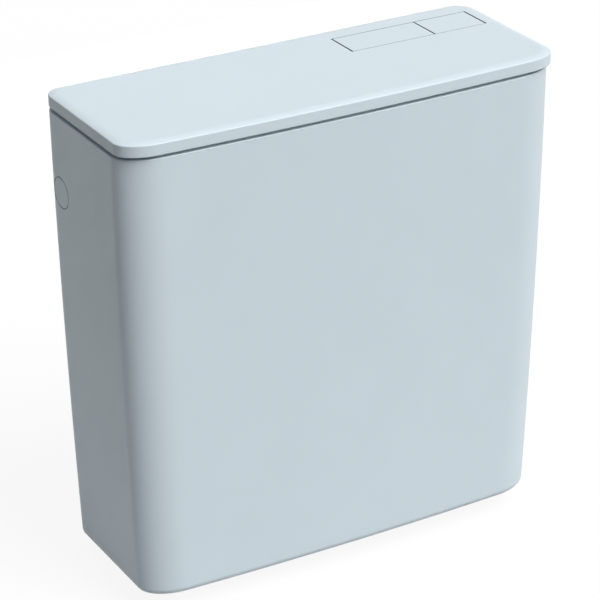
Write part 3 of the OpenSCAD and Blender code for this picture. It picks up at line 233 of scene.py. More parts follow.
# Fineness of the meshes, and tolerances in millimetres
FRONT_STEPS = 48
CORNER_STEPS = 20
SIDE_STEPS = 12
BACK_STEPS = 24
WALL_STEPS = 40
FOOT_STEPS = 10
EDGE_STEPS = 8
CROWN_STEPS = 12
ROUND_STEPS = 96
THREAD_STEPS = 10
COIL_STEPS = 32
WIRE_SIDES = 12
EDGE_SEGMENTS = 3
ROUND_PROFILE = 0.5
SHARP_ANGLE = math.radians(32)
FLAT_ANGLE = math.radians(0.5)
NORMAL_WEIGHT = 80
WELD = 0.002
FIT = 0.05
CUT = 1

# Thread form, as shares of the pitch
THREAD_CREST = 0.15
THREAD_FLANK = 0.7

# Finishes, with patterns in features per metre and depths in millimetres
SHELL_COLOUR = (0.685, 0.787, 0.846)
# Painted shade for the walls of narrow gaps, and the heights of a face's normal between which it gives way
# to the plain colour
PAINTED_GAP_SHADE = (0.085, 0.112, 0.135)
PAINTED_SHADE_LEVELS = (0.3, 0.75)
NOISE_BAND = (0.3, 0.7)
PLASTIC_MOTTLE = 18
PLASTIC_GLOSS = 90
PLASTIC_GLOSS_SPREAD = 0.04
PLASTIC_GRAIN = 1500
PLASTIC_GRAIN_STRENGTH = 0.25
FOAM_CELLS = 300
FOAM_BORDER = 0.09
FOAM_BORDER_SHADE = 0.86
FOAM_GLOSS = 200
FOAM_ROUGHNESS = (0.72, 0.88)
FOAM_ROUNDING = 0.16
FOAM_DEPTH = 0.25
FOAM_STRENGTH = 0.6
RUBBER_BLOOM = 120
RUBBER_BLOOM_DETAIL = 5.0
RUBBER_BLOOM_BAND = (0.45, 0.7)
RUBBER_BLOOM_LIGHT = 0.02
RUBBER_GLOSS = 300
RUBBER_ROUGHNESS = (0.6, 0.82)
RUBBER_GRAIN = 2500
RUBBER_DEPTH = 0.03
RUBBER_STRENGTH = 0.3
METAL_MOTTLE = 60
METAL_MOTTLE_AMOUNT = 0.08
METAL_GLOSS = 150
METAL_GLOSS_DETAIL = 4.0
METAL_SMOOTHER = 0.07
METAL_ROUGHER = 0.1
METAL_MARK_DEPTH = 0.012
METAL_MARK_STRENGTH = 0.35

# Camera
CAMERA_PLACE = (-0.9611, -1.7686, 0.7864)
CAMERA_AZIMUTH = math.radians(-29.35)
CAMERA_ELEVATION = math.radians(25.73)
CAMERA_ROLL = math.radians(-0.71)
CAMERA_LENS = 158.48
CAMERA_SENSOR = 36

# Light
SUNS = {
    "key": ((0.3, -0.6, 0.742), 3.25, 45),
    "top": ((0.0, 0.0, 1.0), 0.42, 60),
}
AMBIENT = 0.03
GLOW_X = (-0.8, -0.2)
GLOW_Y = (-0.25, 0.9)
GLOW_LIFT = 0.004
GLOW_POWER = 0.32
GLOW_COLOUR = (0.72, 0.9, 1.0)
BACK_PLACE = (0.15, 1.1, -0.17)
BACK_SIZE = (1.0, 0.3)
BACK_POWER = 4.0
FLOOR_SIZE = 12
FLOOR_BOUNCE = 0.3
FLOOR_WHITE = 0.9


def in_frame(x, y, z):
    return Vector((x * MM, y * MM, z * MM + UNDERSIDE))


def spread(first, last, steps):
    """Evenly spaced values from first to last, both included."""
    return [first + (last - first) * i / steps for i in range(steps + 1)]


# Meshes

def new_piece(name, points, faces):
    mesh = bpy.data.meshes.new(name)
    mesh.from_pydata([in_frame(*p) for p in points], [], faces)
    work = bmesh.new()
    work.from_mesh(mesh)
    bmesh.ops.recalc_face_normals(work, faces=work.faces)
    work.to_mesh(mesh)
    work.free()
    piece = bpy.data.objects.new(name, mesh)
    bpy.context.scene.collection.objects.link(piece)
    return piece


def loft(name, rings, closed=False):
    """A skin over rings of equal count, capped at both ends, or joined end to end."""
    count = len(rings[0])
    points = [p for ring in rings for p in ring]
    spans = len(rings) if closed else len(rings) - 1
    faces = []
    for i in range(spans):
        here, there = i * count, (i + 1) % len(rings) * count
        for j in range(count):
            k = (j + 1) % count
            faces.append((here + j, here + k, there + k, there + j))
    if not closed:
        faces.append(tuple(range(count)))
        faces.append(tuple(range(len(points) - count, len(points))))
    return new_piece(name, points, faces)


def turned(name, profile, centre, axis, hollow=False, thread=None):
    """A profile of (radius, distance along the axis) turned about an axis, with flat ends unless hollow."""
    along = Vector(axis).normalized()
    across = along.orthogonal().normalized()
    third = along.cross(across)
    rings = []
    for radius, distance in profile:
        ring = []
        for i in range(ROUND_STEPS):
            turn = i / ROUND_STEPS
            a = 2 * math.pi * turn
            r = radius - thread_depth(thread, radius, distance, turn)
            out = across * math.cos(a) + third * math.sin(a)
            ring.append(tuple(Vector(centre) + out * r + along * distance))
        rings.append(ring)
    return loft(name, rings, closed=hollow)


def thread_depth(thread, radius, distance, turn):
    """How far a thread of (radius, first, last, pitch, depth) lies below its crest at a place."""
    if not thread or radius != thread[0] or not thread[1] <= distance <= thread[2]:
        return 0
    crest, first, last, pitch, depth = thread
    wave = abs(2 * ((distance / pitch - turn) % 1) - 1)
    flank = min(max((wave - THREAD_CREST) / THREAD_FLANK, 0), 1)
    fade = min((distance - first) / (pitch / 2), (last - distance) / (pitch / 2), 1)
    return depth * flank * fade


def thread_rows(thread):
    """Profile points close enough to carry a thread."""
    radius, first, last, pitch, depth = thread
    steps = round((last - first) / pitch * THREAD_STEPS)
    return [(radius, d) for d in spread(first, last, steps)]


def coil(name, centre, low, high):
    """A spring of round wire with closed end turns."""
    total = SPRING_TURNS + 2 * SPRING_END_TURNS
    end_rise = 2 * SPRING_WIRE_R * SPRING_END_TURNS
    rings = []
    for turn in spread(0, total, round(total * COIL_STEPS)):
        if turn < SPRING_END_TURNS:
            z = low + end_rise * turn / SPRING_END_TURNS
        elif turn > total - SPRING_END_TURNS:
            z = high - end_rise * (total - turn) / SPRING_END_TURNS
        else:
            z = low + end_rise + (high - low - 2 * end_rise) * (turn - SPRING_END_TURNS) / SPRING_TURNS
        a = 2 * math.pi * turn
        out = Vector((math.cos(a), math.sin(a), 0))
        middle = Vector((centre.x, centre.y, z)) + out * SPRING_R
        sides = [2 * math.pi * i / WIRE_SIDES for i in range(WIRE_SIDES)]
        spokes = [out * math.cos(b) + Vector((0, 0, math.sin(b))) for b in sides]
        rings.append([tuple(middle + spoke * SPRING_WIRE_R) for spoke in spokes])
    return loft(name, rings)


def rod(start, end, radius, steps=ROUND_STEPS):
    along = Vector(end) - Vector(start)
    across = along.orthogonal().normalized()
    third = along.normalized().cross(across)
    turns = [2 * math.pi * i / steps for i in range(steps)]
    ring = [(across * math.cos(a) + third * math.sin(a)) * radius for a in turns]
    return loft("rod", [[tuple(Vector(p) + r) for r in ring] for p in (start, end)])


def slab(low, high):
    (x0, y0, z0), (x1, y1, z1) = low, high
    corners = [(x0, y0), (x1, y0), (x1, y1), (x0, y1)]
    return loft("slab", [[(x, y, z) for x, y in corners] for z in (z0, z1)])


def joined(pieces):
    """One object that holds the meshes of several and takes their place."""
    work = bmesh.new()
    for piece in pieces:
        work.from_mesh(piece.data)
    mesh = bpy.data.meshes.new("joined")
    work.to_mesh(mesh)
    work.free()
    for piece in pieces:
        bpy.data.objects.remove(piece)
    whole = bpy.data.objects.new("joined", mesh)
    bpy.context.scene.collection.objects.link(whole)
    return whole


def combine(piece, tools, operation):
    """Joins the tools to the piece, or cuts them out of it, and removes them."""
    tool = joined(tools)
    change = piece.modifiers.new("combine", "BOOLEAN")
    change.operation = operation
    change.solver = "EXACT"
    change.object = tool
    bpy.context.view_layer.update()
    evaluated = piece.evaluated_get(bpy.context.evaluated_depsgraph_get())
    mesh = bpy.data.meshes.new_from_object(evaluated)
    piece.modifiers.clear()
    piece.data = mesh
    bpy.data.objects.remove(tool)


def soften(piece, is_chosen, width):
    """Rounds the edges whose two ends both pass the test."""
    work = bmesh.new()
    work.from_mesh(piece.data)
    chosen = [e for e in work.edges if all(is_chosen(v.co) for v in e.verts)]
    bmesh.ops.bevel(
        work,
        geom=chosen,
        offset=width * MM,
        segments=EDGE_SEGMENTS,
        affect="EDGES",
        profile=ROUND_PROFILE,
    )
    work.to_mesh(piece.data)
    work.free()


def smooth(piece):
    piece.data.shade_smooth()
    piece.data.set_sharp_from_angle(angle=SHARP_ANGLE)
    weigh_normals(piece)


def weigh_normals(piece):
    """Keeps large flat faces flat beside rounded edges."""
    normals = piece.modifiers.new("normals", "WEIGHTED_NORMAL")
    normals.keep_sharp = True
    normals.weight = NORMAL_WEIGHT


def stand_for(piece, node, name, material):
    """Finishes a piece that stands for a CAD node and rides on that node's body."""
    piece.name = name
    piece.data.name = name
    smooth(piece)
    piece.data.materials.clear()
    piece.data.materials.append(material)
    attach(piece, frame["nodes"][node]["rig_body"])
    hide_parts(node)


def finish_faces(piece, material, is_chosen):
    """Gives a second material to the faces whose middle passes the test."""
    piece.data.materials.append(material)
    for face in piece.data.polygons:
        if is_chosen(face.center):
            face.material_index = 1


# Outlines of the shells

def arc(x, y, across, along, first, last, steps):
    turns = [math.radians(a) for a in spread(first, last, steps)]
    return [(x + across * math.cos(a), y + along * math.sin(a)) for a in turns]


def outline(half_width, back, front, inset, corner=(FRONT_CORNER_W, FRONT_CORNER_R)):
    """Rounded rectangle with a bowed front, anticlockwise from the left end of the front."""
    hw, back, front = half_width - inset, back - inset, front + inset
    fw, fr, br = corner[0] - inset, corner[1] - inset, BACK_CORNER_R - inset
    points = [(x, front) for x in spread(fw - hw, hw - fw, FRONT_STEPS)[1:-1]]
    points += arc(hw - fw, front + fr, fw, fr, -90, 0, CORNER_STEPS)
    points += [(hw, y) for y in spread(front + fr, back - br, SIDE_STEPS)[1:-1]]
    points += arc(hw - br, back - br, br, br, 0, 90, CORNER_STEPS)
    points += [(x, back) for x in spread(hw - br, br - hw, BACK_STEPS)[1:-1]]
    points += arc(br - hw, back - br, br, br, 90, 180, CORNER_STEPS)
    points += [(-hw, y) for y in spread(back - br, front + fr, SIDE_STEPS)[1:-1]]
    points += arc(fw - hw, front + fr, fw, fr, 180, 270, CORNER_STEPS)
    depth = front - back
    return [(x, y - FRONT_BOW * (1 - (x / hw) ** 2) * (y - back) / depth) for x, y in points]


def half_width(z):
    rise = min(z / TANK_H, 1)
    return TANK_HALF_WIDTH - SIDE_DRAFT * (1 - rise) + 4 * SIDE_BULGE * rise * (1 - rise)


def front_depth(z):
    rise = min(z / TANK_H, 1)
    return TANK_DEPTH - FRONT_DRAFT * (1 - rise) + 4 * FRONT_BULGE * rise * (1 - rise)


def tank_ring(inset, z):
    return [(x, y, z) for x, y in outline(half_width(z), 0, -front_depth(z), inset)]


def lid_ring(inset, z):
    plan = outline(LID_HALF_WIDTH, LID_BACK, LID_FRONT, inset, (LID_CORNER_W, LID_CORNER_R))
    return [(x, y, z) for x, y in plan]


def quarter(steps):
    """Pairs of sine and cosine over a quarter turn."""
    return [(math.sin(a), math.cos(a)) for a in spread(0, math.pi / 2, steps)]


def on_side(side, depth):
    """A point at a depth below the outside of a side wall, on the axis of its hole."""
    rise = SIDE_HOLE_Z / TANK_H
    slope = (SIDE_DRAFT + 4 * SIDE_BULGE * (1 - 2 * rise)) / TANK_H
    out = Vector((side, 0, -slope)).normalized()
    return Vector((side * half_width(SIDE_HOLE_Z), SIDE_HOLE_Y, SIDE_HOLE_Z)) - out * depth


# Tank

def tank_profile():
    edge = UPSTAND_EDGE_R
    inner = RIM_STEP + UPSTAND_T
    bead = TANK_H - BEAD_H
    steps = [(FOOT_R + CUT, 0)]
    steps += [(FOOT_R * (1 - s), FOOT_R * (1 - c)) for s, c in quarter(FOOT_STEPS)]
    steps += [(0, z) for z in spread(FOOT_R, TANK_H - RIM_R, WALL_STEPS)[1:-1]]
    steps += [(RIM_R * (1 - c), TANK_H - RIM_R * (1 - s)) for s, c in quarter(EDGE_STEPS)]
    steps += [(RIM_STEP, TANK_H)]
    steps += [(RIM_STEP + edge * (1 - c), UPSTAND_TOP - edge * (1 - s)) for s, c in quarter(EDGE_STEPS)]
    steps += [(inner - edge * (1 - s), UPSTAND_TOP - edge * (1 - c)) for s, c in quarter(EDGE_STEPS)]
    steps += [(inner, bead)]
    steps += [(WALL, z) for z in spread(bead - BEAD_SLOPE, FLOOR_T + FOOT_R, WALL_STEPS)]
    fall = FOOT_R - WALL
    steps += [(WALL + fall * (1 - c), FLOOR_T + FOOT_R * (1 - s)) for s, c in quarter(FOOT_STEPS)[1:]]
    return steps + [(FOOT_R + CUT, FLOOR_T)]


def from_plug(point):
    """A point's distances from the axis of the left wall's hole and along it from the face."""
    p = Vector((point.x, point.y, point.z - UNDERSIDE)) / MM
    face, inside = on_side(-1, 0), on_side(-1, 1)
    along = (p - face).dot(inside - face)
    return ((p - face) - (inside - face) * along).length, along


def is_plug_rim(point):
    """True on the outer edge of the left wall's hole."""
    radius, along = from_plug(point)
    return abs(radius - SIDE_HOLE_R) < FIT and along < WALL / 2


def is_plug_gap(point):
    """True on the two walls of the gap round the plug, from part way down their rounded edges, where shade
    is painted.
    """
    radius, along = from_plug(point)
    inside = PLUG_R - PLUG_EDGE_R < radius < SIDE_HOLE_R + HOLE_EDGE_R
    return inside and PLUG_SHADE < along < WALL + SIDE_PAD_T


def make_tank(material, painted_shade_material):
    tank = loft("tank_shell", [tank_ring(*step) for step in tank_profile()])
    bosses = [
        rod((x, -WALL / 2, HANG_Z), (x, -WALL - HANG_PAD_T, HANG_Z), HANG_PAD_R)
        for x in (-HANG_X, HANG_X)
    ]
    bosses += [
        rod(on_side(side, WALL - SIDE_PAD_ROOT), on_side(side, WALL + SIDE_PAD_T), SIDE_PAD_R)
        for side in (-1, 1)
    ]
    boss_end = -WALL - BRACKET_BOSS_LEN
    screw_x = (BRACKET_X - BRACKET_SCREW_X, BRACKET_X + BRACKET_SCREW_X)
    bosses += [
        rod((x, -WALL / 2, BRACKET_SCREW_Z), (x, boss_end, BRACKET_SCREW_Z), BRACKET_BOSS_R)
        for x in screw_x
    ]
    combine(tank, bosses, "UNION")
    holes = [rod((0, OUTLET_Y, -CUT), (0, OUTLET_Y, FLOOR_T + CUT), OUTLET_HOLE_R)]
    holes += [
        rod((x, CUT, HANG_Z), (x, -WALL - HANG_PAD_T - CUT, HANG_Z), HANG_HOLE_R)
        for x in (-HANG_X, HANG_X)
    ]
    holes += [
        rod(on_side(side, -CUT), on_side(side, WALL + SIDE_PAD_T + CUT), SIDE_HOLE_R) for side in (-1, 1)
    ]
    holes += [
        rod(
            (x, boss_end - CUT, BRACKET_SCREW_Z),
            (x, boss_end + BRACKET_HOLE_LEN, BRACKET_SCREW_Z),
            BRACKET_HOLE_R,
        )
        for x in screw_x
    ]
    combine(tank, holes, "DIFFERENCE")
    soften(tank, is_plug_rim, HOLE_EDGE_R)
    stand_for(tank, "tank", "tank_shell", material)
    # Painted shade on the walls of the hole round the plug
    finish_faces(tank, painted_shade_material, is_plug_gap)


def make_plug(material, painted_shade_material):
    neck = WALL + SIDE_PAD_T + PLUG_GAP
    back = neck + PLUG_FLANGE_T
    edge = PLUG_EDGE_R
    recess_r = SIDE_HOLE_R - WALL
    profile = [(PLUG_R - edge - CUT, 0)]
    profile += [(PLUG_R - edge * (1 - s), edge * (1 - c)) for s, c in quarter(EDGE_STEPS)]
    profile += [(PLUG_R, neck), (PLUG_FLANGE_R, neck)]
    profile += [(PLUG_FLANGE_R, back - edge), (PLUG_FLANGE_R - edge, back)]
    profile += [(recess_r, back), (recess_r, back - PLUG_RECESS)]
    inward = on_side(-1, 1) - on_side(-1, 0)
    plug = turned("side_plug_cap", profile, on_side(-1, 0), inward)
    stand_for(plug, "side_plug", "side_plug_cap", material)
    # Painted shade on the plug's neck and rounded edge in the gap
    finish_faces(plug, painted_shade_material, is_plug_gap)


def make_liner(material):
    out, into, edge = WALL + LINER_GAP, WALL + LINER_GAP + LINER_T, LINER_EDGE_R
    foot = FLOOR_T + LINER_GAP
    profile = [(out + LINER_BEVEL, foot)]
    profile += [(out, z) for z in spread(foot + LINER_BEVEL, LINER_TOP - edge, WALL_STEPS)[:-1]]
    profile += [(out + edge * (1 - c), LINER_TOP - edge * (1 - s)) for s, c in quarter(EDGE_STEPS)]
    profile += [(into - edge * (1 - s), LINER_TOP - edge * (1 - c)) for s, c in quarter(EDGE_STEPS)]
    profile += [(into, z) for z in spread(LINER_TOP - edge, foot + LINER_T, WALL_STEPS)[1:]]
    liner = loft("foam_liner", [tank_ring(*step) for step in profile])
    hole = rod((0, OUTLET_Y, 0), (0, OUTLET_Y, FLOOR_T + LINER_T + 2 * CUT), LINER_HOLE_R)
    combine(liner, [hole], "DIFFERENCE")
    stand_for(liner, "insulation_liner", "foam_liner", material)


# Lid

def crown_z(inset):
    """Height of the lid's top, which falls along a parabola towards its edge."""
    return LID_TOP - CROWN_DROP * (1 - inset / CROWN_W) ** 2


def lid_profile():
    steps = [(SKIRT_T + CUT, LID_UNDER), (SKIRT_T, LID_UNDER), (SKIRT_T, LID_BOTTOM)]
    steps += [
        (SKIRT_EDGE_R * (1 - s), LID_BOTTOM + SKIRT_EDGE_R * (1 - c)) for s, c in quarter(EDGE_STEPS)
    ]
    slope = math.atan(2 * CROWN_DROP / CROWN_W * (1 - LID_EDGE_R / CROWN_W))
    start = LID_EDGE_R * (1 - math.sin(slope))
    edge_z = crown_z(start) - LID_EDGE_R * math.cos(slope)
    turns = spread(0, math.pi / 2 - slope, EDGE_STEPS)
    steps += [(LID_EDGE_R * (1 - math.cos(a)), edge_z + LID_EDGE_R * math.sin(a)) for a in turns]
    return steps + [(inset, crown_z(inset)) for inset in spread(start, CROWN_W, CROWN_STEPS)[1:]]


def is_opening_edge(point):
    """True on the upper edge of the opening for the flush plates."""
    x, y, z = point.x / MM, point.y / MM, (point.z - UNDERSIDE) / MM
    inside = OPENING_X[0] - CUT < x < OPENING_X[1] + CUT and OPENING_Y[0] - CUT < y < OPENING_Y[1] + CUT
    return inside and abs(z - LID_TOP) < FIT


def lid_lips():
    """Short lips that run inside the tank's upstand and locate the lid."""
    out = RIM_STEP + UPSTAND_T + LIP_GAP
    low, high = LID_UNDER - LIP_H, LID_UNDER + LID_TOP_T / 2
    insets = (out, out + LIP_T)
    plan = [outline(half_width(TANK_H), 0, -front_depth(TANK_H), inset) for inset in insets]
    corners = [(plan[0], low), (plan[0], high), (plan[1], high), (plan[1], low)]
    band = loft("lips", [[(x, y, z) for x, y in ring] for ring, z in corners], closed=True)
    half, front, middle = LIP_LEN / 2, LID_FRONT - FRONT_BOW, LID_FRONT / 2
    keep = [slab((x - half, front, 0), (x + half, middle - LIP_LEN, LID_TOP)) for x in (-LIP_X, 0, LIP_X)]
    keep += [slab((x, OPENING_Y[1], 0), (x + LIP_LEN, 0, LID_TOP)) for x in (-LIP_X - half, -LIP_LEN)]
    keep += [slab((-LID_HALF_WIDTH, middle - LIP_LEN, 0), (LID_HALF_WIDTH, middle, LID_TOP))]
    combine(band, keep, "INTERSECT")
    return band


def lid_ribs():
    low, high, half = LID_UNDER - RIB_H, LID_UNDER + LID_TOP_T / 2, RIB_T / 2
    margin = SKIRT_T + RIM_STEP + UPSTAND_T + LIP_GAP + 2 * LIP_T
    end, front, back = LID_HALF_WIDTH - margin, LID_FRONT + margin, OPENING_Y[1] / 2 - LIP_T
    carrier_x, carrier_y = OPENING_X[0] - CARRIER_MARGIN, OPENING_Y[0] - CARRIER_MARGIN
    cross_y = (carrier_y + front) / 2 - LID_BOSS_R
    ribs = []
    x = carrier_x - RIB_PITCH / 2
    while x > -end:
        ribs.append(slab((x - half, front, low), (x + half, back, high)))
        x -= RIB_PITCH
    cross = slab((-end, cross_y - half, low), (end, cross_y + half, high))
    inner = slab((-end, OPENING_Y[0], low), (carrier_x - CARRIER_WALL, OPENING_Y[0] + RIB_T, high))
    return ribs, [cross, inner]


def lid_boss_places():
    out = CARRIER_MARGIN + LID_BOSS_R
    xs = (OPENING_X[0] + LID_SCREW_INSET, OPENING_X[1] - LID_SCREW_INSET)
    return [(x, y) for x in xs for y in (OPENING_Y[0] - out, OPENING_Y[1] + out)]


def is_opening_wall(point):
    """True on the walls of the opening for the flush plates, where shade is painted."""
    x, y, z = point.x / MM, point.y / MM, (point.z - UNDERSIDE) / MM
    (x0, x1), (y0, y1), ease = OPENING_X, OPENING_Y, OPENING_EDGE_R
    inside = x0 - ease < x < x1 + ease and y0 - ease < y < y1 + ease
    return inside and LID_UNDER < z < LID_TOP


def make_lid(material, painted_shade_material):
    lid = loft("lid_shell", [lid_ring(*step) for step in lid_profile()])
    low = (OPENING_X[0], OPENING_Y[0], LID_UNDER - CUT)
    high = (OPENING_X[1], OPENING_Y[1], LID_TOP + CUT)
    combine(lid, [slab(low, high)], "DIFFERENCE")
    soften(lid, is_opening_edge, OPENING_EDGE_R)
    along, across = lid_ribs()
    combine(lid, [lid_lips()], "UNION")
    combine(lid, along, "UNION")
    combine(lid, across, "UNION")
    boss_foot, boss_top = LID_UNDER - LID_BOSS_H, LID_UNDER + LID_TOP_T / 2
    boss_places = lid_boss_places()
    combine(lid, [rod((x, y, boss_foot), (x, y, boss_top), LID_BOSS_R) for x, y in boss_places], "UNION")
    holes = [rod((x, y, boss_foot - CUT), (x, y, LID_UNDER), LID_SCREW_R) for x, y in boss_places]
    combine(lid, holes, "DIFFERENCE")
    stand_for(lid, "lid", "lid_shell", material)
    # Painted shade on the walls of the opening for the flush plates
    finish_faces(lid, painted_shade_material, is_opening_wall)


# Springs

def make_springs(material):
    for node, (joint, kept) in SPRINGS.items():
        low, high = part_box(node)
        centre = (low + high) / 2 / MM
        bottom = (low.z - UNDERSIDE) / MM + SPRING_WIRE_R
        top = (high.z - UNDERSIDE) / MM - SPRING_WIRE_R
        spring = coil(node + "_coil", centre, bottom, top)
        stand_for(spring, node, node + "_coil", material)
        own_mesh(spring)


# Outlet and inlet

def make_spigot(material):
    foot = (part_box("outlet_spigot")[0].z - UNDERSIDE) / MM
    lip_r, bevel = SPIGOT_THROAT_R + SPIGOT_LIP_W, SPIGOT_LIP_W / 4
    low, high = SPIGOT_FLANGE
    thread = (SPIGOT_R, foot + EDGE, -EDGE, SPIGOT_PITCH, SPIGOT_THREAD)
    profile = [(SPIGOT_BORE_R + EDGE, foot), (SPIGOT_R - SPIGOT_THREAD, foot)]
    profile += thread_rows(thread)
    profile += [(SPIGOT_R, low), (SPIGOT_FLANGE_R, low), (SPIGOT_FLANGE_R, high - EDGE)]
    profile += [(SPIGOT_FLANGE_R - EDGE, high), (lip_r, high), (lip_r, SPIGOT_SEAT - bevel)]
    profile += [(lip_r - bevel, SPIGOT_SEAT), (SPIGOT_THROAT_R + bevel, SPIGOT_SEAT)]
    profile += [(SPIGOT_THROAT_R, SPIGOT_SEAT - bevel), (SPIGOT_THROAT_R, SPIGOT_BORE_END)]
    profile += [(SPIGOT_BORE_R, SPIGOT_BORE_END), (SPIGOT_BORE_R, foot + EDGE)]
    spigot = turned("threaded_spigot", profile, (0, OUTLET_Y, 0), (0, 0, 1), hollow=True, thread=thread)
    stand_for(spigot, "outlet_spigot", "threaded_spigot", material)


def chamfered_nut(name, corners, inner_r, centre, axis, height):
    """A nut with flat sides between the given corners, its corners turned off at both ends."""
    along = Vector(axis)
    rings = [[tuple(Vector(c) + along * d) for c in corners] for d in (0, height)]
    nut = loft(name, rings)
    outer_r = (Vector(corners[0]) - Vector(centre)).length
    flat_r = (Vector(corners[0]) + Vector(corners[1]) - 2 * Vector(centre)).length / 2
    depth = (outer_r - flat_r) / 2
    profile = [(flat_r, 0), (outer_r + EDGE, depth + EDGE / 2)]
    profile += [(outer_r + EDGE, height - depth - EDGE / 2), (flat_r, height)]
    combine(nut, [turned("chamfer", profile, centre, axis)], "INTERSECT")
    start = Vector(centre) - along * CUT
    combine(nut, [rod(start, Vector(centre) + along * (height + CUT), inner_r)], "DIFFERENCE")
    return nut


def make_spigot_nut(material):
    turns = [2 * math.pi * (i + 0.5) / SPIGOT_NUT_SIDES for i in range(SPIGOT_NUT_SIDES)]
    foot = -SPIGOT_NUT_H
    corners = [(SPIGOT_NUT_R * math.cos(a), OUTLET_Y + SPIGOT_NUT_R * math.sin(a), foot) for a in turns]
    bore_r = SPIGOT_R + NUT_SLACK
    nut = chamfered_nut("spigot_nut", corners, bore_r, (0, OUTLET_Y, foot), (0, 0, 1), SPIGOT_NUT_H)
    stand_for(nut, "spigot_locknut", "spigot_nut", material)


def make_inlet(material):
    first, last = (corner.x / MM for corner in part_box("inlet_shank"))
    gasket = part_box("inlet_gasket")[0].x / MM
    nut_low, nut_high = (corner.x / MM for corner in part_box("inlet_locknut"))
    collar = gasket - INLET_COLLAR_T
    tail = (INLET_TAIL_R, nut_high + EDGE, last - INLET_TAIL_BEVEL, INLET_PITCH, INLET_THREAD)
    profile = [(INLET_PASSAGE_R, first), (INLET_R - EDGE, first), (INLET_R, first + EDGE)]
    profile += [(INLET_R, collar)]
    profile += [(INLET_COLLAR_R - EDGE, collar), (INLET_COLLAR_R, collar + EDGE), (INLET_COLLAR_R, gasket)]
    shoulder = nut_low - 2 * EDGE
    profile += [(INLET_SHOULDER_R, gasket), (INLET_SHOULDER_R, shoulder), (INLET_R, shoulder)]
    profile += [(INLET_R, nut_high), (INLET_TAIL_R, nut_high)]
    profile += thread_rows(tail)
    profile += [(INLET_TAIL_R - INLET_TAIL_BEVEL, last), (INLET_PASSAGE_R + EDGE, last)]
    profile += [(INLET_PASSAGE_R, last - EDGE)]
    centre = (0, SIDE_HOLE_Y, SIDE_HOLE_Z)
    shank = turned("threaded_inlet", profile, centre, (1, 0, 0), hollow=True, thread=tail)
    stand_for(shank, "inlet_shank", "threaded_inlet", material)
    turns = [2 * math.pi * i / INLET_NUT_SIDES for i in range(INLET_NUT_SIDES)]
    corners = [
        (nut_low, SIDE_HOLE_Y - INLET_NUT_R * math.sin(a), SIDE_HOLE_Z + INLET_NUT_R * math.cos(a))
        for a in turns
    ]
    start = (nut_low, SIDE_HOLE_Y, SIDE_HOLE_Z)
    nut = chamfered_nut("inlet_nut", corners, INLET_R + NUT_SLACK, start, (1, 0, 0), nut_high - nut_low)
    stand_for(nut, "inlet_locknut", "inlet_nut", material)


# Materials

def material_of(name, colour, roughness, metallic=0.0):
    material = bpy.data.materials.new(name)
    material.use_nodes = True
    shader = material.node_tree.nodes["Principled BSDF"]
    shader.inputs["Base Color"].default_value = (*colour, 1)
    shader.inputs["Roughness"].default_value = roughness
    shader.inputs["Metallic"].default_value = metallic
    return material, shader


def places(material, stretch):
    """The object's own coordinates, stretched along its axes."""
    nodes, links = material.node_tree.nodes, material.node_tree.links
    place = nodes.new("ShaderNodeTexCoord")
    mapping = nodes.new("ShaderNodeMapping")
    mapping.inputs["Scale"].default_value = stretch
    links.new(place.outputs["Object"], mapping.inputs["Vector"])
    return mapping.outputs["Vector"]


def noise(material, scale, detail=2.0, stretch=(1, 1, 1)):
    """Noise over the surface, with its scale in features per metre."""
    texture = material.node_tree.nodes.new("ShaderNodeTexNoise")
    texture.inputs["Scale"].default_value = scale
    texture.inputs["Detail"].default_value = detail
    material.node_tree.links.new(places(material, stretch), texture.inputs["Vector"])
    return texture.outputs["Fac"]


def cells(material, scale):
    """Distance from the borders of rounded cells, with their scale in cells per metre."""
    texture = material.node_tree.nodes.new("ShaderNodeTexVoronoi")
    texture.feature = "DISTANCE_TO_EDGE"
    texture.inputs["Scale"].default_value = scale
    material.node_tree.links.new(places(material, (1, 1, 1)), texture.inputs["Vector"])
    return texture.outputs["Distance"]


def ranged(material, factor, low, high, first, last):
    """The factor, carried from one range of values to another."""
    nodes, links = material.node_tree.nodes, material.node_tree.links
    ramp = nodes.new("ShaderNodeMapRange")
    ramp.inputs["From Min"].default_value = low
    ramp.inputs["From Max"].default_value = high
    ramp.inputs["To Min"].default_value = first
    ramp.inputs["To Max"].default_value = last
    links.new(factor, ramp.inputs["Value"])
    return ramp.outputs["Result"]


def vary(material, shader, factor, first, last):
    """Drives the roughness between two values by a noise factor."""
    result = ranged(material, factor, *NOISE_BAND, first, last)
    material.node_tree.links.new(result, shader.inputs["Roughness"])


def tint(material, shader, factor, low, high, first, last):
    """Carries the base colour from one colour to another as the factor rises."""
    nodes, links = material.node_tree.nodes, material.node_tree.links
    ramp = nodes.new("ShaderNodeValToRGB")
    ramp.color_ramp.elements[0].position = low
    ramp.color_ramp.elements[1].position = high
    ramp.color_ramp.elements[0].color = (*first, 1)
    ramp.color_ramp.elements[1].color = (*last, 1)
    links.new(factor, ramp.inputs["Fac"])
    links.new(ramp.outputs["Color"], shader.inputs["Base Color"])


def mottle(material, shader, colour, scale, amount):
    """Varies the base colour a little about its value."""
    darker = [c * (1 - amount) for c in colour]
    lighter = [min(c * (1 + amount), 1) for c in colour]
    tint(material, shader, noise(material, scale), *NOISE_BAND, darker, lighter)


def roughen(material, shader, height, depth, strength):
    """Bumps the surface by a height pattern of a real depth in millimetres."""
    nodes, links = material.node_tree.nodes, material.node_tree.links
    bump = nodes.new("ShaderNodeBump")
    bump.inputs["Distance"].default_value = depth * MM
    bump.inputs["Strength"].default_value = strength
    links.new(height, bump.inputs["Height"])
    links.new(bump.outputs["Normal"], shader.inputs["Normal"])


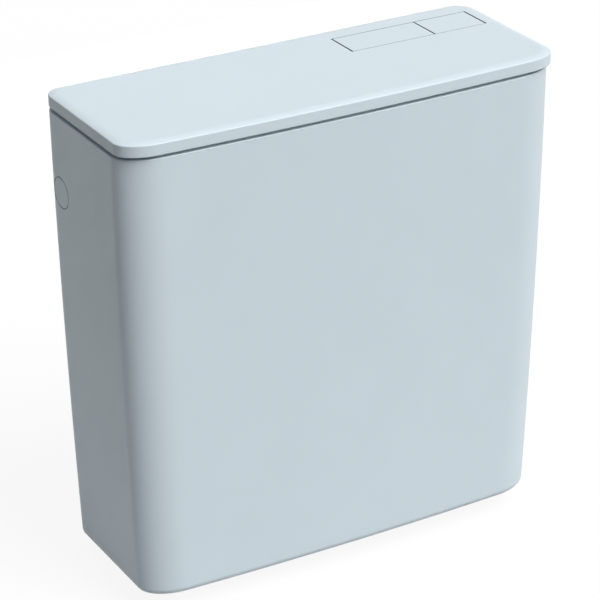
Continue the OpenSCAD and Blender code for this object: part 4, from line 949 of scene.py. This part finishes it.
def plastic(name, colour, roughness, grain, amount):
    """Moulded plastic with a faint mottle, uneven gloss and a fine grain from the mould."""
    material, shader = material_of(name, colour, roughness)
    mottle(material, shader, colour, PLASTIC_MOTTLE, amount)
    gloss, either_way = noise(material, PLASTIC_GLOSS), PLASTIC_GLOSS_SPREAD
    vary(material, shader, gloss, roughness - either_way, roughness + either_way)
    roughen(material, shader, noise(material, PLASTIC_GRAIN, 1.0), grain, PLASTIC_GRAIN_STRENGTH)
    return material


def plastic_with_painted_shade(name, colour, shade, roughness, grain, amount):
    """Moulded plastic with painted shade on its upright and downward faces, as in a narrow gap, fading to
    the plain colour as a face turns upwards.
    """
    material = plastic(name, colour, roughness, grain, amount)
    nodes, links = material.node_tree.nodes, material.node_tree.links
    shader = nodes["Principled BSDF"]
    face = nodes.new("ShaderNodeNewGeometry")
    split = nodes.new("ShaderNodeSeparateXYZ")
    links.new(face.outputs["True Normal"], split.inputs["Vector"])
    level = ranged(material, split.outputs["Z"], *PAINTED_SHADE_LEVELS, 0, 1)
    mix = nodes.new("ShaderNodeMix")
    mix.data_type = "RGBA"
    mix.inputs["A"].default_value = (*shade, 1)
    links.new(level, mix.inputs["Factor"])
    links.new(shader.inputs["Base Color"].links[0].from_socket, mix.inputs["B"])
    links.new(mix.outputs["Result"], shader.inputs["Base Color"])
    return material


def foam(name, colour, roughness):
    """Bead foam: closed cells pressed flat against each other, with darker borders."""
    material, shader = material_of(name, colour, roughness)
    border = cells(material, FOAM_CELLS)
    shade = [c * FOAM_BORDER_SHADE for c in colour]
    tint(material, shader, border, 0.0, FOAM_BORDER, shade, colour)
    vary(material, shader, noise(material, FOAM_GLOSS), *FOAM_ROUGHNESS)
    height = ranged(material, border, 0.0, FOAM_ROUNDING, 0, 1)
    roughen(material, shader, height, FOAM_DEPTH, FOAM_STRENGTH)
    return material


def rubber(name, colour, roughness):
    """Dull rubber with a dusty bloom."""
    material, shader = material_of(name, colour, roughness)
    bloom = [c + RUBBER_BLOOM_LIGHT for c in colour]
    patches = noise(material, RUBBER_BLOOM, RUBBER_BLOOM_DETAIL)
    tint(material, shader, patches, *RUBBER_BLOOM_BAND, colour, bloom)
    vary(material, shader, noise(material, RUBBER_GLOSS), *RUBBER_ROUGHNESS)
    roughen(material, shader, noise(material, RUBBER_GRAIN, 1.0), RUBBER_DEPTH, RUBBER_STRENGTH)
    return material


def metal(name, colour, roughness, stretch):
    """Metal with fine tool marks drawn out along one direction, and dulled patches."""
    material, shader = material_of(name, colour, roughness, metallic=1.0)
    mottle(material, shader, colour, METAL_MOTTLE, METAL_MOTTLE_AMOUNT)
    patches = noise(material, METAL_GLOSS, METAL_GLOSS_DETAIL)
    vary(material, shader, patches, roughness - METAL_SMOOTHER, roughness + METAL_ROUGHER)
    marks = noise(material, 1, stretch=stretch)
    roughen(material, shader, marks, METAL_MARK_DEPTH, METAL_MARK_STRENGTH)
    return material


shell_finish = {"roughness": 0.42, "grain": 0.02, "amount": 0.008}
glossy_finish = {"roughness": 0.33, "grain": 0.02, "amount": 0.03}
dull_finish = {"roughness": 0.45, "grain": 0.02, "amount": 0.03}
materials = {
    "shell": plastic("satin_shell", SHELL_COLOUR, **shell_finish),
    # Shell plastic with painted shade on its upright faces, for the flush plates
    "shell_painted_shade": plastic_with_painted_shade("satin_shell_painted_shade", SHELL_COLOUR, PAINTED_GAP_SHADE, **shell_finish),
    # A flat dark colour painted as shade on the walls of the gap round the plug and of the plates' opening
    "gap": plastic("painted_shade_plastic", PAINTED_GAP_SHADE, roughness=0.5, grain=0.02, amount=0.03),
    "foam": foam("bead_foam", (0.90, 0.90, 0.88), roughness=0.8),
    "moulding": plastic("grey_moulding", (0.62, 0.65, 0.67), roughness=0.45, grain=0.03, amount=0.02),
    "valve_plastic": plastic("blue_valve_plastic", (0.10, 0.27, 0.36), **glossy_finish),
    "lift_plastic": plastic("amber_lift_plastic", (0.72, 0.45, 0.10), **glossy_finish),
    "grey_plastic": plastic("dark_grey_plastic", (0.28, 0.30, 0.32), **dull_finish),
    "seal_rubber": rubber("seal_rubber", (0.02, 0.02, 0.022), roughness=0.7),
    "brass": metal("turned_brass", (0.60, 0.42, 0.16), roughness=0.3, stretch=(4000, 80, 80)),
    "steel": metal("drawn_steel", (0.55, 0.56, 0.57), roughness=0.32, stretch=(90, 3000, 3000)),
}
slots = {part["node"]: part["material_slot"] for part in frame["record"]["subparts"]}


# Solids that are shown as they are

def smoothing():
    """A node group that shades a mesh smooth, apart from its sharp edges."""
    group = bpy.data.node_groups.new("smooth_by_angle", "GeometryNodeTree")
    group.interface.new_socket("Geometry", in_out="INPUT", socket_type="NodeSocketGeometry")
    group.interface.new_socket("Geometry", in_out="OUTPUT", socket_type="NodeSocketGeometry")
    start, end = group.nodes.new("NodeGroupInput"), group.nodes.new("NodeGroupOutput")
    plain = group.nodes.new("GeometryNodeRemoveAttribute")
    plain.inputs["Name"].default_value = "custom_normal"
    faces = group.nodes.new("GeometryNodeSetShadeSmooth")
    edges = group.nodes.new("GeometryNodeSetShadeSmooth")
    edges.domain = "EDGE"
    angle = group.nodes.new("GeometryNodeInputMeshEdgeAngle")
    limit = group.nodes.new("FunctionNodeCompare")
    limit.operation = "LESS_EQUAL"
    limit.inputs["B"].default_value = SHARP_ANGLE
    group.links.new(start.outputs[0], plain.inputs["Geometry"])
    group.links.new(plain.outputs["Geometry"], faces.inputs["Geometry"])
    group.links.new(faces.outputs["Geometry"], edges.inputs["Geometry"])
    group.links.new(angle.outputs["Unsigned Angle"], limit.inputs["A"])
    group.links.new(limit.outputs["Result"], edges.inputs["Shade Smooth"])
    group.links.new(edges.outputs["Geometry"], end.inputs[0])
    return group


def dress_solids():
    """Gives every solid the finish of its slot, or for the flush plates plastic with painted shade on
    upright faces, fine rounded edges and smooth shading.
    """
    group = smoothing()
    for name, node in frame["nodes"].items():
        node.data.materials.clear()
        node.data.materials.append(materials[PAINTED_SHADE_SLOTS.get(name, slots[name])])
        weld = node.modifiers.new("weld", "WELD")
        weld.merge_threshold = WELD * MM
        flat = node.modifiers.new("flat_faces", "DECIMATE")
        flat.decimate_type = "DISSOLVE"
        flat.angle_limit = FLAT_ANGLE
        edge = node.modifiers.new("edges", "BEVEL")
        edge.limit_method = "ANGLE"
        edge.angle_limit = SHARP_ANGLE
        edge.width = SOLID_EDGE_R.get(name, SOLID_EDGE) * MM
        edge.segments = EDGE_SEGMENTS
        shade = node.modifiers.new("shading", "NODES")
        shade.node_group = group
        weigh_normals(node)


# Scene

def white_rays(tree):
    """A factor of 1 on the rays of the camera, of gloss and of glass, which see a white surround."""
    path = tree.nodes.new("ShaderNodeLightPath")
    total = path.outputs["Is Camera Ray"]
    for kind in ("Is Glossy Ray", "Is Transmission Ray"):
        either = tree.nodes.new("ShaderNodeMath")
        either.operation = "MAXIMUM"
        tree.links.new(total, either.inputs[0])
        tree.links.new(path.outputs[kind], either.inputs[1])
        total = either.outputs["Value"]
    return total


def make_floor():
    z = cad_box[0].z
    half = FLOOR_SIZE / 2
    corners = [(-half, -half, z), (half, -half, z), (half, half, z), (-half, half, z)]
    mesh = bpy.data.meshes.new("floor")
    mesh.from_pydata(corners, [], [(0, 1, 2, 3)])
    floor = bpy.data.objects.new("floor", mesh)
    bpy.context.scene.collection.objects.link(floor)
    material = bpy.data.materials.new("pale_floor")
    material.use_nodes = True
    nodes, links = material.node_tree.nodes, material.node_tree.links
    nodes.clear()
    seen = white_rays(material.node_tree)
    colour = nodes.new("ShaderNodeMix")
    colour.data_type = "RGBA"
    colour.inputs["A"].default_value = (FLOOR_BOUNCE, FLOOR_BOUNCE, FLOOR_BOUNCE, 1)
    colour.inputs["B"].default_value = (1, 1, 1, 1)
    links.new(seen, colour.inputs["Factor"])
    diffuse = nodes.new("ShaderNodeBsdfDiffuse")
    links.new(colour.outputs["Result"], diffuse.inputs["Color"])
    white = nodes.new("ShaderNodeEmission")
    share = nodes.new("ShaderNodeMath")
    share.operation = "MULTIPLY"
    share.inputs[1].default_value = FLOOR_WHITE
    links.new(seen, share.inputs[0])
    mix = nodes.new("ShaderNodeMixShader")
    output = nodes.new("ShaderNodeOutputMaterial")
    links.new(share.outputs["Value"], mix.inputs["Fac"])
    links.new(diffuse.outputs["BSDF"], mix.inputs[1])
    links.new(white.outputs["Emission"], mix.inputs[2])
    links.new(mix.outputs["Shader"], output.inputs["Surface"])
    mesh.materials.append(material)


def make_world():
    """Faint even light from all round, white to the camera, to gloss and to glass."""
    world = bpy.data.worlds.new("studio")
    bpy.context.scene.world = world
    world.use_nodes = True
    nodes, links = world.node_tree.nodes, world.node_tree.links
    nodes.clear()
    ambient = nodes.new("ShaderNodeBackground")
    ambient.inputs["Color"].default_value = (1, 1, 1, 1)
    ambient.inputs["Strength"].default_value = AMBIENT
    white = nodes.new("ShaderNodeBackground")
    white.inputs["Color"].default_value = (1, 1, 1, 1)
    white.inputs["Strength"].default_value = 1
    mix = nodes.new("ShaderNodeMixShader")
    output = nodes.new("ShaderNodeOutputWorld")
    links.new(white_rays(world.node_tree), mix.inputs["Fac"])
    links.new(ambient.outputs["Background"], mix.inputs[1])
    links.new(white.outputs["Background"], mix.inputs[2])
    links.new(mix.outputs["Shader"], output.inputs["Surface"])


def make_suns():
    """Large soft lamps, one from the front and one from overhead."""
    for name, (direction, strength, angle) in SUNS.items():
        lamp = bpy.data.lights.new(name, "SUN")
        lamp.energy = strength
        lamp.angle = math.radians(angle)
        sun = bpy.data.objects.new(name, lamp)
        sun.rotation_mode = "QUATERNION"
        sun.rotation_quaternion = Vector(direction).to_track_quat("Z", "Y")
        bpy.context.scene.collection.objects.link(sun)


def area_lamp(name, place, facing, size, power, colour):
    """A rectangular lamp that stays below the lid and out of the camera's sight."""
    lamp = bpy.data.lights.new(name, "AREA")
    lamp.shape = "RECTANGLE"
    lamp.size, lamp.size_y = size
    lamp.energy = power
    lamp.color = colour
    holder = bpy.data.objects.new(name, lamp)
    holder.location = place
    holder.rotation_mode = "QUATERNION"
    holder.rotation_quaternion = (-Vector(facing)).to_track_quat("Z", "Y")
    holder.visible_camera = False
    bpy.context.scene.collection.objects.link(holder)


def make_fill():
    """The glow of a lit floor beside the shaded side, and a weak lamp behind."""
    glow_place = (sum(GLOW_X) / 2, sum(GLOW_Y) / 2, cad_box[0].z + GLOW_LIFT)
    glow_size = (GLOW_X[1] - GLOW_X[0], GLOW_Y[1] - GLOW_Y[0])
    area_lamp("floor_glow", glow_place, (0, 0, 1), glow_size, GLOW_POWER, GLOW_COLOUR)
    area_lamp("behind", BACK_PLACE, (0, -1, 0), BACK_SIZE, BACK_POWER, (1, 1, 1))


def make_camera():
    a, e, r = CAMERA_AZIMUTH, CAMERA_ELEVATION, CAMERA_ROLL
    back = Vector((math.sin(a) * math.cos(e), -math.cos(a) * math.cos(e), math.sin(e)))
    right = (-back).cross(Vector((0, 0, 1))).normalized()
    up = right.cross(-back)
    rolled_right = right * math.cos(r) + up * math.sin(r)
    rolled_up = up * math.cos(r) - right * math.sin(r)
    turn = Matrix((rolled_right, rolled_up, back)).transposed()
    lens = bpy.data.cameras.new("camera")
    lens.lens = CAMERA_LENS
    lens.sensor_width = CAMERA_SENSOR
    camera = bpy.data.objects.new("camera", lens)
    camera.matrix_world = Matrix.Translation(CAMERA_PLACE) @ turn.to_4x4()
    bpy.context.scene.collection.objects.link(camera)
    bpy.context.scene.camera = camera


bpy.context.scene.view_settings.view_transform = "Standard"
make_camera()
make_world()
make_suns()
make_fill()
make_floor()
dress_solids()
make_tank(materials["shell"], materials["gap"])
make_lid(materials["shell"], materials["gap"])
make_plug(materials["shell"], materials["gap"])
make_liner(materials["foam"])
make_springs(materials["steel"])
make_spigot(materials["grey_plastic"])
make_spigot_nut(materials["grey_plastic"])
make_inlet(materials["brass"])
